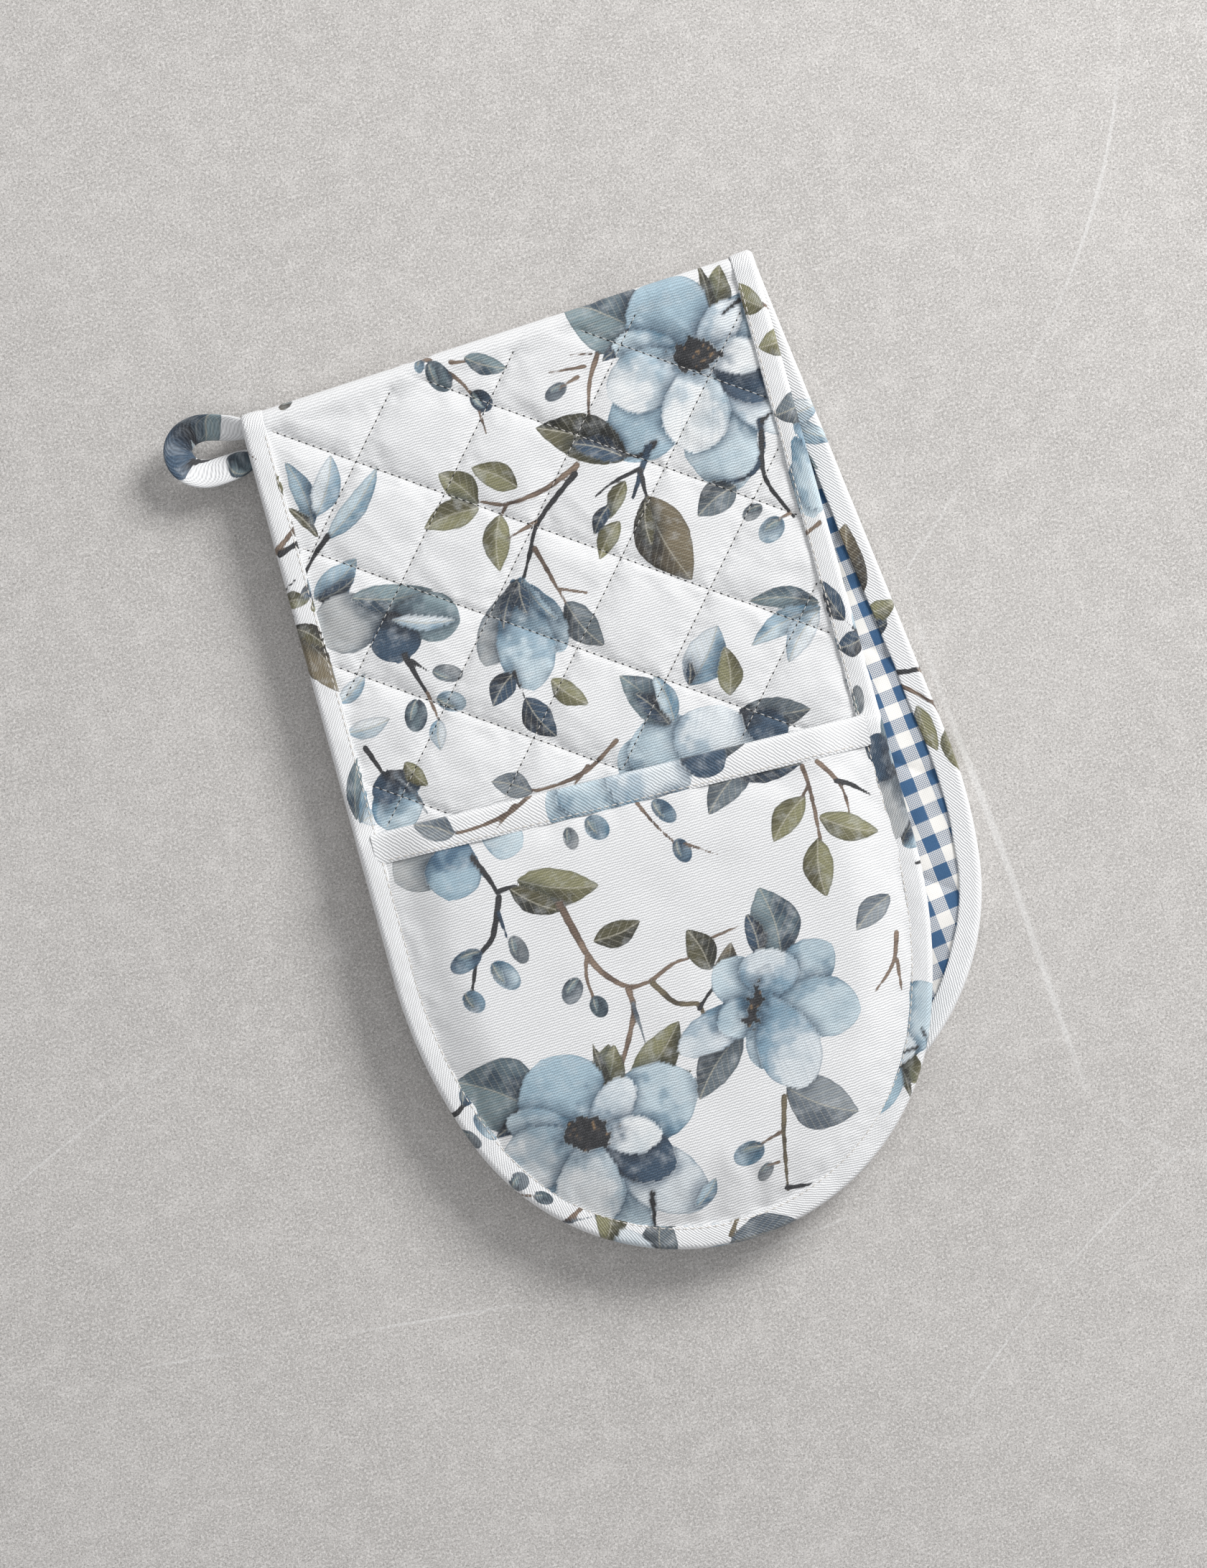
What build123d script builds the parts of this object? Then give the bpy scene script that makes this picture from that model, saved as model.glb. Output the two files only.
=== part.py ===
from build123d import *
from dataclasses import dataclass
from math import asin, cos, degrees, radians, sin, sqrt, tan
import os

# Double oven glove: one quilted band with a hand pocket at each end, folded once at mid-length.
#
# The fold runs along X.  Both mitts reach from it towards -Y, one on top of the other, with the
# gingham linings face to face and the pockets outwards.  Z is up and the lower mitt lies on Z = 0.
# The origin is the middle of the folded glove's plan, on the floor.  All sizes are millimetres.

# --- driving dimensions: plan -------------------------------------------------------------
BAND_WIDTH = 213.0          # across the band, over the edge binding
UPPER_REACH = 371.5         # fold to finger end of the upper mitt
LOWER_REACH = 342.0         # the band isn't folded quite at its middle
UPPER_LEAN = -2.7           # degrees that each mitt turns from square to the fold
LOWER_LEAN = 4.0
UPPER_NARROWING = 6.5       # a round finger end's radius is this much under half the width
LOWER_NARROWING = 3.0
POCKET_DEPTH = 190.5        # pocket mouth to finger end, along the mitt's middle
MOUTH_SLANT = 1.7           # degrees that the mouth is out of square with the mitt
FOLD_X, FOLD_Y = 8.52, 183.3  # middle of the fold's outer edge

# --- driving dimensions: cloth and wadding ------------------------------------------------
CLOTH = 0.5                 # printed cotton, gingham and binding tape
BAND_WADDING = 2.6
POCKET_WADDING = 1.6
BINDING_WIDTH = 9.5         # edge binding, seen from above
MOUTH_BINDING_WIDTH = 12.5
HAND_ROOM = 5.0             # rise of the upper panel of each mitt over its lower panel
CROWN_LEAD = 28.0           # a raised band starts this far before its pocket mouth
CROWN_SLOPE = 60.0          # taper of a raised panel's sides, from vertical
THREAD = 0.25               # height that the stitches stand proud
THREAD_WIDTH = 0.6
STITCH_MARGIN = 1.0         # topstitching to the binding's inner edge
TACK_HEIGHT = 5.0           # tack of thread at the hanging loop
TACK_LENGTH = 3.0

# --- driving dimensions: quilting and hanging loop ----------------------------------------
QUILT_FALL = -38.0          # degrees of the first family of lines, from X
QUILT_RISE = 46.0           # and of the second family
QUILT_FALL_PITCH = 39.4     # between neighbouring lines
QUILT_RISE_PITCH = 36.9
QUILT_FALL_START = -27.1    # first line of each family, from the middle of the fold
QUILT_RISE_START = -9.9
TAPE_WIDTH = 10.0
TAPE_THICKNESS = 1.4
LOOP_TAPER = 16.0           # degrees that the tape's edges open from its sewn ends
LOOP_END_HEIGHT = 1.2       # of the tape where it is sewn flat
LOOP_BEND = 7.0
# the tape's way, as distances out from its sewn end and from the fold's outer edge
LOOP_ROUTE = [(0, -3), (-11, 3), (-29.5, 4.4), (-29.5, -14), (-16, -18.5), (-2, -18.5)]

# --- clearances ---------------------------------------------------------------------------
MITT_CLEARANCE = 0.5        # the lower mitt's raised band to the rim of the upper mitt
FOLD_CLEARANCE = 1.8        # a mitt's end to the fold's, so that the fold's ring can turn
LOOP_CLEARANCE = 2.0        # the loop's sewn ends to the band's edge
CROWN_MARGIN = 1.0          # binding's inner edge to the foot of a raised panel
MOUTH_BINDING_INSET = 1.2   # the foot of a raised panel to the ends of the mouth binding

# --- sizes that follow --------------------------------------------------------------------
FOLD_INNER_RADIUS = (HAND_ROOM + CLOTH + MITT_CLEARANCE) / 2    # the gingham's bend
BAND = 2 * CLOTH + BAND_WADDING
POCKET = 2 * CLOTH + POCKET_WADDING
LOWER_POCKET_Z = CLOTH
LOWER_BAND_Z = LOWER_POCKET_Z + POCKET
FOLD_Z = LOWER_BAND_Z + BAND + FOLD_INNER_RADIUS
UPPER_BAND_Z = FOLD_Z + FOLD_INNER_RADIUS
UPPER_POCKET_Z = UPPER_BAND_Z + BAND
FOLD_RADIUS = FOLD_INNER_RADIUS + BAND
BEND_Y = FOLD_Y - FOLD_RADIUS           # centre line of the fold's bend
MITT_END_Y = BEND_Y - FOLD_CLEARANCE
CROWN_INSET = BINDING_WIDTH + CROWN_MARGIN
PAST_FOLD = 10.0                        # plans start beyond the fold and are trimmed there
QUILT_LINES = 19                        # more of each family than cross the band


@dataclass(frozen=True)
class Mitt:
    """Plan and heights of one mitt.

    Of its two panels, band and pocket, the lower one is flat and the upper one is crowned over
    it, which leaves room for a hand.
    """

    name: str
    lean: float
    reach: float
    narrowing: float
    band_z: float
    pocket_z: float

    @property
    def band_is_raised(self):
        return self.band_z > self.pocket_z

    @property
    def end_radius(self):
        return BAND_WIDTH / 2 - self.narrowing

    @property
    def shoulder_radius(self):
        return 2 * self.end_radius      # longer arc from the straight sides to the finger end

    @property
    def mouth_depth(self):
        return self.reach - POCKET_DEPTH

    @property
    def rim_top(self):
        return max(self.band_z + BAND, self.pocket_z + POCKET)

    def plane(self, z):
        """Plane at height z: X across the mitt, -Y towards its finger end."""
        turn = radians(self.lean)
        return Plane(origin=(FOLD_X, FOLD_Y, z), x_dir=(cos(turn), sin(turn), 0), z_dir=(0, 0, 1))

    def mouth(self, back=0.0):
        """Upright plane along the pocket mouth, facing the fold, moved `back` into the pocket."""
        turn = radians(self.lean - MOUTH_SLANT)
        facing = Vector(-sin(turn), cos(turn), 0)
        middle = self.plane(0).from_local_coords(Vector(0, -self.mouth_depth, 0))
        return Plane(origin=middle - facing * back, z_dir=facing)


UPPER = Mitt("upper", UPPER_LEAN, UPPER_REACH, UPPER_NARROWING, UPPER_BAND_Z, UPPER_POCKET_Z)
LOWER = Mitt("lower", LOWER_LEAN, LOWER_REACH, LOWER_NARROWING, LOWER_BAND_Z, LOWER_POCKET_Z)
FOLD_END = Plane(origin=(0, MITT_END_Y, 0), z_dir=(0, 1, 0))


def plan(mitt, inset, z, start=PAST_FOLD):
    """The mitt's plan at height z, drawn in by `inset`, from `start` to its finger end."""
    half = BAND_WIDTH / 2 - inset
    radius = mitt.end_radius
    rise = sqrt(radius**2 - (mitt.shoulder_radius - BAND_WIDTH / 2) ** 2)
    shoulder_turn = degrees(asin(rise / radius))
    shoulder_y = radius - mitt.reach + rise
    with BuildSketch(mitt.plane(z)) as face:
        with BuildLine():
            side = Line((-half, start), (-half, shoulder_y))
            near = JernArc(side @ 1, side % 1, mitt.shoulder_radius - inset, shoulder_turn)
            end = JernArc(near @ 1, near % 1, radius - inset, 180 - 2 * shoulder_turn)
            far = JernArc(end @ 1, end % 1, mitt.shoulder_radius - inset, shoulder_turn)
            Polyline(far @ 1, (half, start), (-half, start))
        make_face()
    return face.sketch


def panel_layer(mitt, z, thickness, inset=CLOTH, crowned=False):
    """One layer of a panel, trimmed at the fold; a crowned one rises by HAND_ROOM inside its rim."""
    crown_start = CROWN_LEAD - mitt.mouth_depth
    with BuildPart() as layer:
        extrude(plan(mitt, inset, z), amount=thickness)
        if crowned:
            extrude(plan(mitt, CROWN_INSET, z + thickness, crown_start), HAND_ROOM, taper=CROWN_SLOPE)
            extrude(plan(mitt, CROWN_INSET, z, crown_start), HAND_ROOM, taper=CROWN_SLOPE,
                    mode=Mode.SUBTRACT)
        split(bisect_by=FOLD_END, keep=Keep.BOTTOM)
    return layer.part


def band_layer(mitt, z, thickness):
    """A layer of the long quilted band."""
    with BuildPart() as layer:
        add(panel_layer(mitt, z, thickness, crowned=mitt.band_is_raised))
    return layer.part


def pocket_layer(mitt, z, thickness):
    """A layer of the pocket panel, which stops inside the mouth binding's fold."""
    with BuildPart() as layer:
        add(panel_layer(mitt, z, thickness, crowned=not mitt.band_is_raised))
        split(bisect_by=mitt.mouth(back=CLOTH), keep=Keep.BOTTOM)
    return layer.part


def mouth_binding(mitt):
    """Tape folded over the edge of the pocket mouth, between the feet of the crown."""
    crowned = not mitt.band_is_raised
    ends = CROWN_INSET + MOUTH_BINDING_INSET
    with BuildPart() as tape:
        add(panel_layer(mitt, mitt.pocket_z - CLOTH, POCKET + 2 * CLOTH, crowned=crowned))
        extrude(plan(mitt, ends, -CLOTH), amount=mitt.rim_top + 2 * HAND_ROOM, mode=Mode.INTERSECT)
        split(bisect_by=mitt.mouth(), keep=Keep.BOTTOM)
        split(bisect_by=mitt.mouth(back=MOUTH_BINDING_WIDTH), keep=Keep.TOP)
        add(pocket_layer(mitt, mitt.pocket_z, POCKET), mode=Mode.SUBTRACT)
    return tape.part


def rim(mitt, z, height):
    """Ring under the edge binding, from the mitt's outline in to the binding's inner edge."""
    with BuildPart() as ring:
        extrude(plan(mitt, 0, z), amount=height)
        extrude(plan(mitt, BINDING_WIDTH, z), amount=height, mode=Mode.SUBTRACT)
        split(bisect_by=FOLD_END, keep=Keep.BOTTOM)
    return ring.part


def edge_binding(mitt):
    """Tape folded round the rim of band and pocket, thinner where there is only the band."""
    low = min(mitt.band_z, mitt.pocket_z)
    with BuildPart() as pocket_rim:
        add(rim(mitt, low - CLOTH, BAND + POCKET + 2 * CLOTH))
        split(bisect_by=mitt.mouth(back=CLOTH), keep=Keep.BOTTOM)
    with BuildPart() as tape:
        add(rim(mitt, mitt.band_z - CLOTH, BAND + 2 * CLOTH))
        add(pocket_rim.part)
        extrude(plan(mitt, CLOTH, mitt.band_z), amount=BAND, mode=Mode.SUBTRACT)
        add(pocket_layer(mitt, mitt.pocket_z, POCKET), mode=Mode.SUBTRACT)
    return tape.part


def edge_stitching(mitt):
    """Line of topstitching on the edge binding's upper face, stepped at a mouth on that face."""
    outer = BINDING_WIDTH - STITCH_MARGIN - THREAD_WIDTH
    foot = mitt.band_z + BAND + CLOTH
    top = mitt.rim_top + CLOTH
    with BuildPart() as thread:
        extrude(plan(mitt, outer, foot), amount=top + THREAD - foot)
        extrude(plan(mitt, outer + THREAD_WIDTH, foot), amount=top + THREAD - foot,
                mode=Mode.SUBTRACT)
        split(bisect_by=FOLD_END, keep=Keep.BOTTOM)
        if top > foot:
            with BuildPart(mode=Mode.PRIVATE) as below_pocket:
                extrude(plan(mitt, 0, foot), amount=top - foot)
                split(bisect_by=mitt.mouth(back=CLOTH), keep=Keep.BOTTOM)
            with BuildPart(mode=Mode.PRIVATE) as above_band:
                extrude(plan(mitt, 0, foot + THREAD), amount=top - foot)
                split(bisect_by=mitt.mouth(back=-THREAD_WIDTH), keep=Keep.TOP)
            add(below_pocket.part, mode=Mode.SUBTRACT)
            add(above_band.part, mode=Mode.SUBTRACT)
    return thread.part


def quilting(mitt, z):
    """Diamond grid of stitching on the band's printed face, from the fold to the pocket mouth."""
    with BuildPart() as thread:
        with BuildSketch(Plane.XY.offset(z)) as lines:
            for angle, pitch, first in ((QUILT_FALL, QUILT_FALL_PITCH, QUILT_FALL_START),
                                        (QUILT_RISE, QUILT_RISE_PITCH, QUILT_RISE_START)):
                middle = Location((FOLD_X, FOLD_Y, 0), (0, 0, 1), angle)
                with Locations(middle * Location((0, first, 0))):
                    with GridLocations(1, pitch, 1, QUILT_LINES):
                        Rectangle(3 * BAND_WIDTH, THREAD_WIDTH)
        extrude(amount=THREAD)
        extrude(plan(mitt, BINDING_WIDTH, z), amount=THREAD, mode=Mode.INTERSECT)
        split(bisect_by=FOLD_END, keep=Keep.BOTTOM)
        split(bisect_by=mitt.mouth(), keep=Keep.TOP)
    return thread.part


def fold_ring(inner, outer, left, right):
    """Half ring round the fold's centre line, between two radii and two places along X."""
    with BuildPart() as ring:
        with BuildSketch(Plane(origin=(left, BEND_Y, FOLD_Z), x_dir=(0, 1, 0), z_dir=(1, 0, 0))):
            Circle(outer)
            Circle(inner, mode=Mode.SUBTRACT)
            Rectangle(outer, 2 * outer, align=(Align.MAX, Align.CENTER), mode=Mode.SUBTRACT)
        extrude(amount=right - left)
    return ring.part


def fold_binding(side):
    """Edge binding round one end of the fold; `side` is -1 for the left end and 1 for the right."""
    edge = FOLD_X + side * BAND_WIDTH / 2
    tape_left, tape_right = sorted((edge, edge - side * BINDING_WIDTH))
    core_left, core_right = sorted((edge - side * CLOTH, edge - side * 2 * BINDING_WIDTH))
    with BuildPart() as tape:
        add(fold_ring(FOLD_INNER_RADIUS - CLOTH, FOLD_RADIUS + CLOTH, tape_left, tape_right))
        add(fold_ring(FOLD_INNER_RADIUS, FOLD_RADIUS, core_left, core_right), mode=Mode.SUBTRACT)
    return tape.part


def hanging_loop():
    """Tape on edge: out from the fold's left end, round, and back beside the mitts."""
    root_x = FOLD_X - BAND_WIDTH / 2 - LOOP_CLEARANCE
    reach = 2 * max(-out for out, _ in LOOP_ROUTE)
    end_half = LOOP_END_HEIGHT / 2
    far_half = end_half + reach * tan(radians(LOOP_TAPER))
    with BuildPart() as tape:
        with BuildSketch(Plane.XY.offset(FOLD_Z - TAPE_WIDTH / 2)):
            with BuildLine():
                FilletPolyline(*((root_x + out, FOLD_Y + along) for out, along in LOOP_ROUTE),
                               radius=LOOP_BEND)
            trace(line_width=TAPE_THICKNESS)
        extrude(amount=TAPE_WIDTH)
        with BuildSketch(Plane(origin=(root_x, FOLD_Y, FOLD_Z), x_dir=(-1, 0, 0), z_dir=(0, 1, 0))):
            Polygon((-1, -end_half), (0, -end_half), (reach, -far_half), (reach, far_half),
                    (0, end_half), (-1, end_half), align=None)
        extrude(amount=reach, both=True, mode=Mode.INTERSECT)
    return tape.part


def loop_bartack():
    """Dense tack of thread that holds the loop's end to the fold's left binding."""
    edge = FOLD_X - BAND_WIDTH / 2
    with BuildPart() as tack:
        with Locations((edge, FOLD_Y - THREAD_WIDTH, FOLD_Z)):
            Box(THREAD, TACK_LENGTH, TACK_HEIGHT, align=(Align.MAX, Align.MAX, Align.CENTER))
    return tack.part


def mitt_pieces(mitt):
    """Every piece of one mitt by name, from the floor up."""
    lining_on_top = mitt.band_is_raised
    band_lining_z = mitt.band_z + CLOTH + BAND_WADDING if lining_on_top else mitt.band_z
    band_cloth_z = mitt.band_z if lining_on_top else mitt.band_z + CLOTH + BAND_WADDING
    pocket_cloth_z = mitt.pocket_z if lining_on_top else mitt.pocket_z + CLOTH + POCKET_WADDING
    pocket_lining_z = mitt.pocket_z + CLOTH + POCKET_WADDING if lining_on_top else mitt.pocket_z
    quilting_z = mitt.band_z - THREAD if lining_on_top else mitt.band_z + BAND
    return {
        "pocket_cloth": pocket_layer(mitt, pocket_cloth_z, CLOTH),
        "pocket_wadding": pocket_layer(mitt, mitt.pocket_z + CLOTH, POCKET_WADDING),
        "pocket_lining": pocket_layer(mitt, pocket_lining_z, CLOTH),
        "mouth_binding": mouth_binding(mitt),
        "band_cloth": band_layer(mitt, band_cloth_z, CLOTH),
        "band_wadding": band_layer(mitt, mitt.band_z + CLOTH, BAND_WADDING),
        "band_lining": band_layer(mitt, band_lining_z, CLOTH),
        "edge_binding": edge_binding(mitt),
        "edge_stitching": edge_stitching(mitt),
        "quilting": quilting(mitt, quilting_z),
    }


def fold_pieces():
    """Every piece of the fold, which joins the two mitts."""
    left, right = FOLD_X - BAND_WIDTH / 2 + CLOTH, FOLD_X + BAND_WIDTH / 2 - CLOTH
    lining, cloth = FOLD_INNER_RADIUS + CLOTH, FOLD_RADIUS - CLOTH
    return {
        "fold_lining": fold_ring(FOLD_INNER_RADIUS, lining, left, right),
        "fold_wadding": fold_ring(lining, cloth, left, right),
        "fold_cloth": fold_ring(cloth, FOLD_RADIUS, left, right),
        "fold_left_binding": fold_binding(-1),
        "fold_right_binding": fold_binding(1),
        "hanging_loop": hanging_loop(),
        "loop_bartack": loop_bartack(),
    }


pieces = {}
for side_mitt in (LOWER, UPPER):
    for piece_name, piece in mitt_pieces(side_mitt).items():
        pieces[f"{side_mitt.name}_{piece_name}"] = piece
pieces.update(fold_pieces())

os.makedirs("parts", exist_ok=True)
for node_name, part in pieces.items():
    part.label = node_name
    export_step(part, f"parts/{node_name}.step")

everything = Compound(children=list(pieces.values())).bounding_box()
print("whole glove:", everything.min, everything.max)
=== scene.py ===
"""Looks of the folded double oven glove: quilted band, hand pockets, bound edges, loop and stitches.

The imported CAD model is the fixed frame.  Cloth is laid out flat in millimetres, sewn and puffed
there, then folded once round the band's middle and set down in metres where the CAD has it.
"""
import logging
import math
from dataclasses import dataclass
from enum import Enum
from typing import Callable, Optional, Sequence

import bmesh
import bpy
import numpy as np
from mathutils import Matrix, Vector


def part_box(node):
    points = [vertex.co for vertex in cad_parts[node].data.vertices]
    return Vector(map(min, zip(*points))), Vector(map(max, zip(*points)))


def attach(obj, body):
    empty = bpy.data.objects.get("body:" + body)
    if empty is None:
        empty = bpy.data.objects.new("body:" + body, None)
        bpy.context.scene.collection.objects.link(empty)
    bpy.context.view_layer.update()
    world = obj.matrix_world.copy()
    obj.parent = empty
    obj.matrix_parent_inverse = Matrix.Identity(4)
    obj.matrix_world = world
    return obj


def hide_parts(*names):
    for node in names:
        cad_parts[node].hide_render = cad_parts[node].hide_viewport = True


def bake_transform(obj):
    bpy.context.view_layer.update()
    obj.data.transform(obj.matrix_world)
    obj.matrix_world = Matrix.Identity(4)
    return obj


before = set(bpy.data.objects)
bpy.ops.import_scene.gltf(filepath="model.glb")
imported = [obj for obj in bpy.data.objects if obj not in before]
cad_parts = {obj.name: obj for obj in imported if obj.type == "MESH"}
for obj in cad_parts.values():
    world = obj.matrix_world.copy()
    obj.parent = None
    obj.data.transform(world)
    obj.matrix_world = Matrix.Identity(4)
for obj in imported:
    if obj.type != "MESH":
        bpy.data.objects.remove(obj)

MM = 0.001
BIAS = 0.7071
"""Sine of the bias, 45 degrees to the weave."""
log = logging.getLogger("oven_glove")
Array = np.ndarray


def linear(red: float, green: float, blue: float) -> tuple[float, float, float]:
    """Turns a paint-chart colour, 0 to 255, into the light values that shaders use."""
    return tuple(((c / 255 + 0.055) / 1.055) ** 2.4 for c in (red, green, blue))


def eased(value: Array, low: float, high: float) -> Array:
    """Smooth step of value from 0 at low to 1 at high."""
    t = np.clip((np.asarray(value, float) - low) / (high - low), 0, 1)
    return t * t * (3 - 2 * t)


def mottle(x: Array, y: Array, cell: float, seed: int) -> Array:
    """Soft seeded unevenness, 0 to 1, that varies over about one cell.

    Args:
        x: First coordinate of each place.
        y: Second coordinate of each place.
        cell: Distance over which the value changes.
        seed: Number that picks one pattern.

    Returns:
        One value for each place.
    """
    u, v = np.asarray(x, float) / cell + 91.7, np.asarray(y, float) / cell + 57.3
    i, j = np.floor(u).astype(np.int64), np.floor(v).astype(np.int64)
    fu, fv = eased(u - i, 0, 1), eased(v - j, 0, 1)

    def corner(a: Array, b: Array) -> Array:
        """Fixed pseudo-random value of one lattice corner.

        Args:
            a: First lattice number.
            b: Second lattice number.

        Returns:
            A value from 0 to 1 for each corner.
        """
        h = (a * 374761393 + b * 668265263 + seed * 974634777) & 0xFFFFFFFF
        h = ((h ^ (h >> 13)) * 1274126177) & 0xFFFFFFFF
        return ((h ^ (h >> 16)) & 0xFFFF) / 65535

    top = corner(i, j) * (1 - fu) + corner(i + 1, j) * fu
    low = corner(i, j + 1) * (1 - fu) + corner(i + 1, j + 1) * fu
    return top * (1 - fv) + low * fv


# --- cut and fold -------------------------------------------------------------------------


class Face(Enum):
    """The way a mitt's printed face looks when the glove lies folded."""

    UP = 1
    DOWN = -1


@dataclass(frozen=True)
class Fold:
    """Bend round which the flat band is folded, read from the CAD fold.

    Flat cloth has x along the fold, y away from the finger ends, and h, its height above the
    band's middle layer towards the printed face.
    """

    middle_x: float
    outer_y: float
    bend_y: float
    bend_z: float
    neutral: float = 4.8
    seam_gap: float = 1.8
    floor: float = 0.25

    @property
    def arc(self) -> float:
        """Length of flat cloth in a quarter turn."""
        return math.pi / 2 * self.neutral

    @property
    def crest_y(self) -> float:
        """Flat y of the fold's middle line."""
        return self.bend_y + self.arc

    @property
    def seam_y(self) -> float:
        """Flat y where the mitt ends and the fold's own pieces begin."""
        return self.bend_y - self.seam_gap

    def lay(self, flat: Array, face: Face) -> Array:
        """Folds flat cloth into place.

        Args:
            flat: Rows of x, y and h in millimetres.
            face: The way the printed face looks.

        Returns:
            Rows of x, y and z in millimetres.
        """
        x, y, h = flat[:, 0], flat[:, 1], flat[:, 2]
        turn = np.clip((self.crest_y - y) / self.neutral, 0, math.pi / 2)
        past = np.minimum(y, self.bend_y) - self.bend_y
        radius = self.neutral + h
        z = self.bend_z + face.value * radius * np.sin(turn)
        return np.stack([x, self.bend_y + radius * np.cos(turn) + past, np.maximum(z, self.floor)], axis=1)


@dataclass(frozen=True)
class Mitt:
    """Plan of one mitt: straight sides, two shoulder arcs and a round finger end."""

    name: str
    face: Face
    lean: float
    reach: float
    fold: Fold
    width: float
    end_narrowing: float = 6.5
    pocket_depth: float = 190.5
    mouth_slant: float = 1.7
    binding: float = 9.5
    crown_rise: float = 5.0

    @property
    def half(self) -> float:
        """Half the band's width over the binding."""
        return self.width / 2

    @property
    def end_radius(self) -> float:
        """Radius of the finger end."""
        return self.half - self.end_narrowing

    @property
    def shoulder_turn(self) -> float:
        """Angle of each shoulder arc, whose radius is twice the finger end's."""
        return math.acos((2 * self.end_radius - self.half) / self.end_radius)

    @property
    def shoulder_q(self) -> float:
        """Distance from the fold at which the sides begin to curve."""
        return self.reach - self.end_radius - self.end_radius * math.sin(self.shoulder_turn)

    @property
    def mouth_q(self) -> float:
        """Distance from the fold to the pocket mouth on the mitt's middle line."""
        return self.reach - self.pocket_depth

    def across(self, x: Array, y: Array) -> tuple[Array, Array]:
        """The mitt's own p across and q from the fold, of places on the flat cloth.

        Args:
            x: Flat x of each place.
            y: Flat y of each place.

        Returns:
            Distance across from the middle line, and distance from the fold.
        """
        c, s = math.cos(self.lean), math.sin(self.lean)
        dx, dy = x - self.fold.middle_x, y - self.fold.outer_y
        return dx * c + dy * s, dx * s - dy * c

    def flat(self, p: Array, q: Array) -> tuple[Array, Array]:
        """Flat x and y of places given across the mitt and from the fold."""
        c, s = math.cos(self.lean), math.sin(self.lean)
        return self.fold.middle_x + p * c + q * s, self.fold.outer_y + p * s - q * c

    def inside(self, x: Array, y: Array) -> Array:
        """Distance in from the mitt's outline, negative outside it.

        Args:
            x: Flat x of each place.
            y: Flat y of each place.

        Returns:
            One distance in millimetres for each place.
        """
        p, q = self.across(x, y)
        p = np.abs(p)
        radius, turn = self.end_radius, self.shoulder_turn
        side = self.half - p
        dx, dy = p - (self.half - 2 * radius), q - self.shoulder_q
        shoulder = 2 * radius - np.hypot(dx, dy)
        end = radius - np.hypot(p, q - (self.reach - radius))
        bend = np.arctan2(dy, dx)
        return np.where(dy <= 0, side, np.where(bend < turn, shoulder, end))

    def past_mouth(self, x: Array, y: Array) -> Array:
        """Distance into the pocket from its mouth, negative towards the fold.

        Args:
            x: Flat x of each place.
            y: Flat y of each place.

        Returns:
            One distance in millimetres for each place.
        """
        turn = self.lean - math.radians(self.mouth_slant)
        mx, my = self.flat(np.float64(0), np.float64(self.mouth_q))
        return (x - mx) * math.sin(turn) - (y - my) * math.cos(turn)

    def walk(self, step: float) -> tuple[Array, Array, Array]:
        """Goes round the outline from the fold's middle, round the finger end, and back.

        Args:
            step: About how far apart the stations are.

        Returns:
            Flat x and y of each station, its inward direction, and its distance gone.
        """
        radius, turn = self.end_radius, self.shoulder_turn
        c, s = math.cos(self.lean), math.sin(self.lean)
        starts, seams = ([(self.fold.outer_y + p * s - y) / c for p in (-self.half, self.half)]
                         for y in (self.fold.crest_y, self.fold.seam_y))
        p, q, n = [], [], []

        def straight(side: float, a: float, b: float, last: bool) -> None:
            """Adds stations down or up one side.

            Args:
                side: -1 for the left side, 1 for the right one.
                a: Distance from the fold to begin at.
                b: Distance from the fold to end at.
                last: Whether the end itself is a station.
            """
            count = max(2, round(abs(b - a) / step))
            for t in np.linspace(a, b, count + 1)[: None if last else -1]:
                p.append(side * self.half), q.append(t), n.append((-side, 0.0))

        def arc(cp: float, cq: float, r: float, a: float, b: float) -> None:
            """Adds stations round one arc, from angle a to b, but not the last one.

            Args:
                cp: The centre's place across.
                cq: The centre's distance from the fold.
                r: Radius.
                a: First angle in radians.
                b: Last angle.
            """
            count = max(4, round(abs(b - a) * r / step))
            for t in np.linspace(a, b, count + 1)[:-1]:
                p.append(cp + r * math.cos(t)), q.append(cq + r * math.sin(t))
                n.append((-math.cos(t), -math.sin(t)))

        straight(-1, starts[0], seams[0], False)
        straight(-1, seams[0], self.shoulder_q, False)
        arc(2 * radius - self.half, self.shoulder_q, 2 * radius, math.pi, math.pi - turn)
        arc(0, self.reach - radius, radius, math.pi - turn, turn)
        arc(self.half - 2 * radius, self.shoulder_q, 2 * radius, turn, 0)
        straight(1, self.shoulder_q, seams[1], False)
        straight(1, seams[1], starts[1], True)
        p, q, n = np.array(p), np.array(q), np.array(n)
        x, y = self.flat(p, q)
        inward = np.stack([n[:, 0] * c + n[:, 1] * s, n[:, 0] * s - n[:, 1] * c], axis=1)
        gone = np.concatenate([[0], np.cumsum(np.hypot(np.diff(x), np.diff(y)))])
        return np.stack([x, y], axis=1), inward, gone


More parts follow.
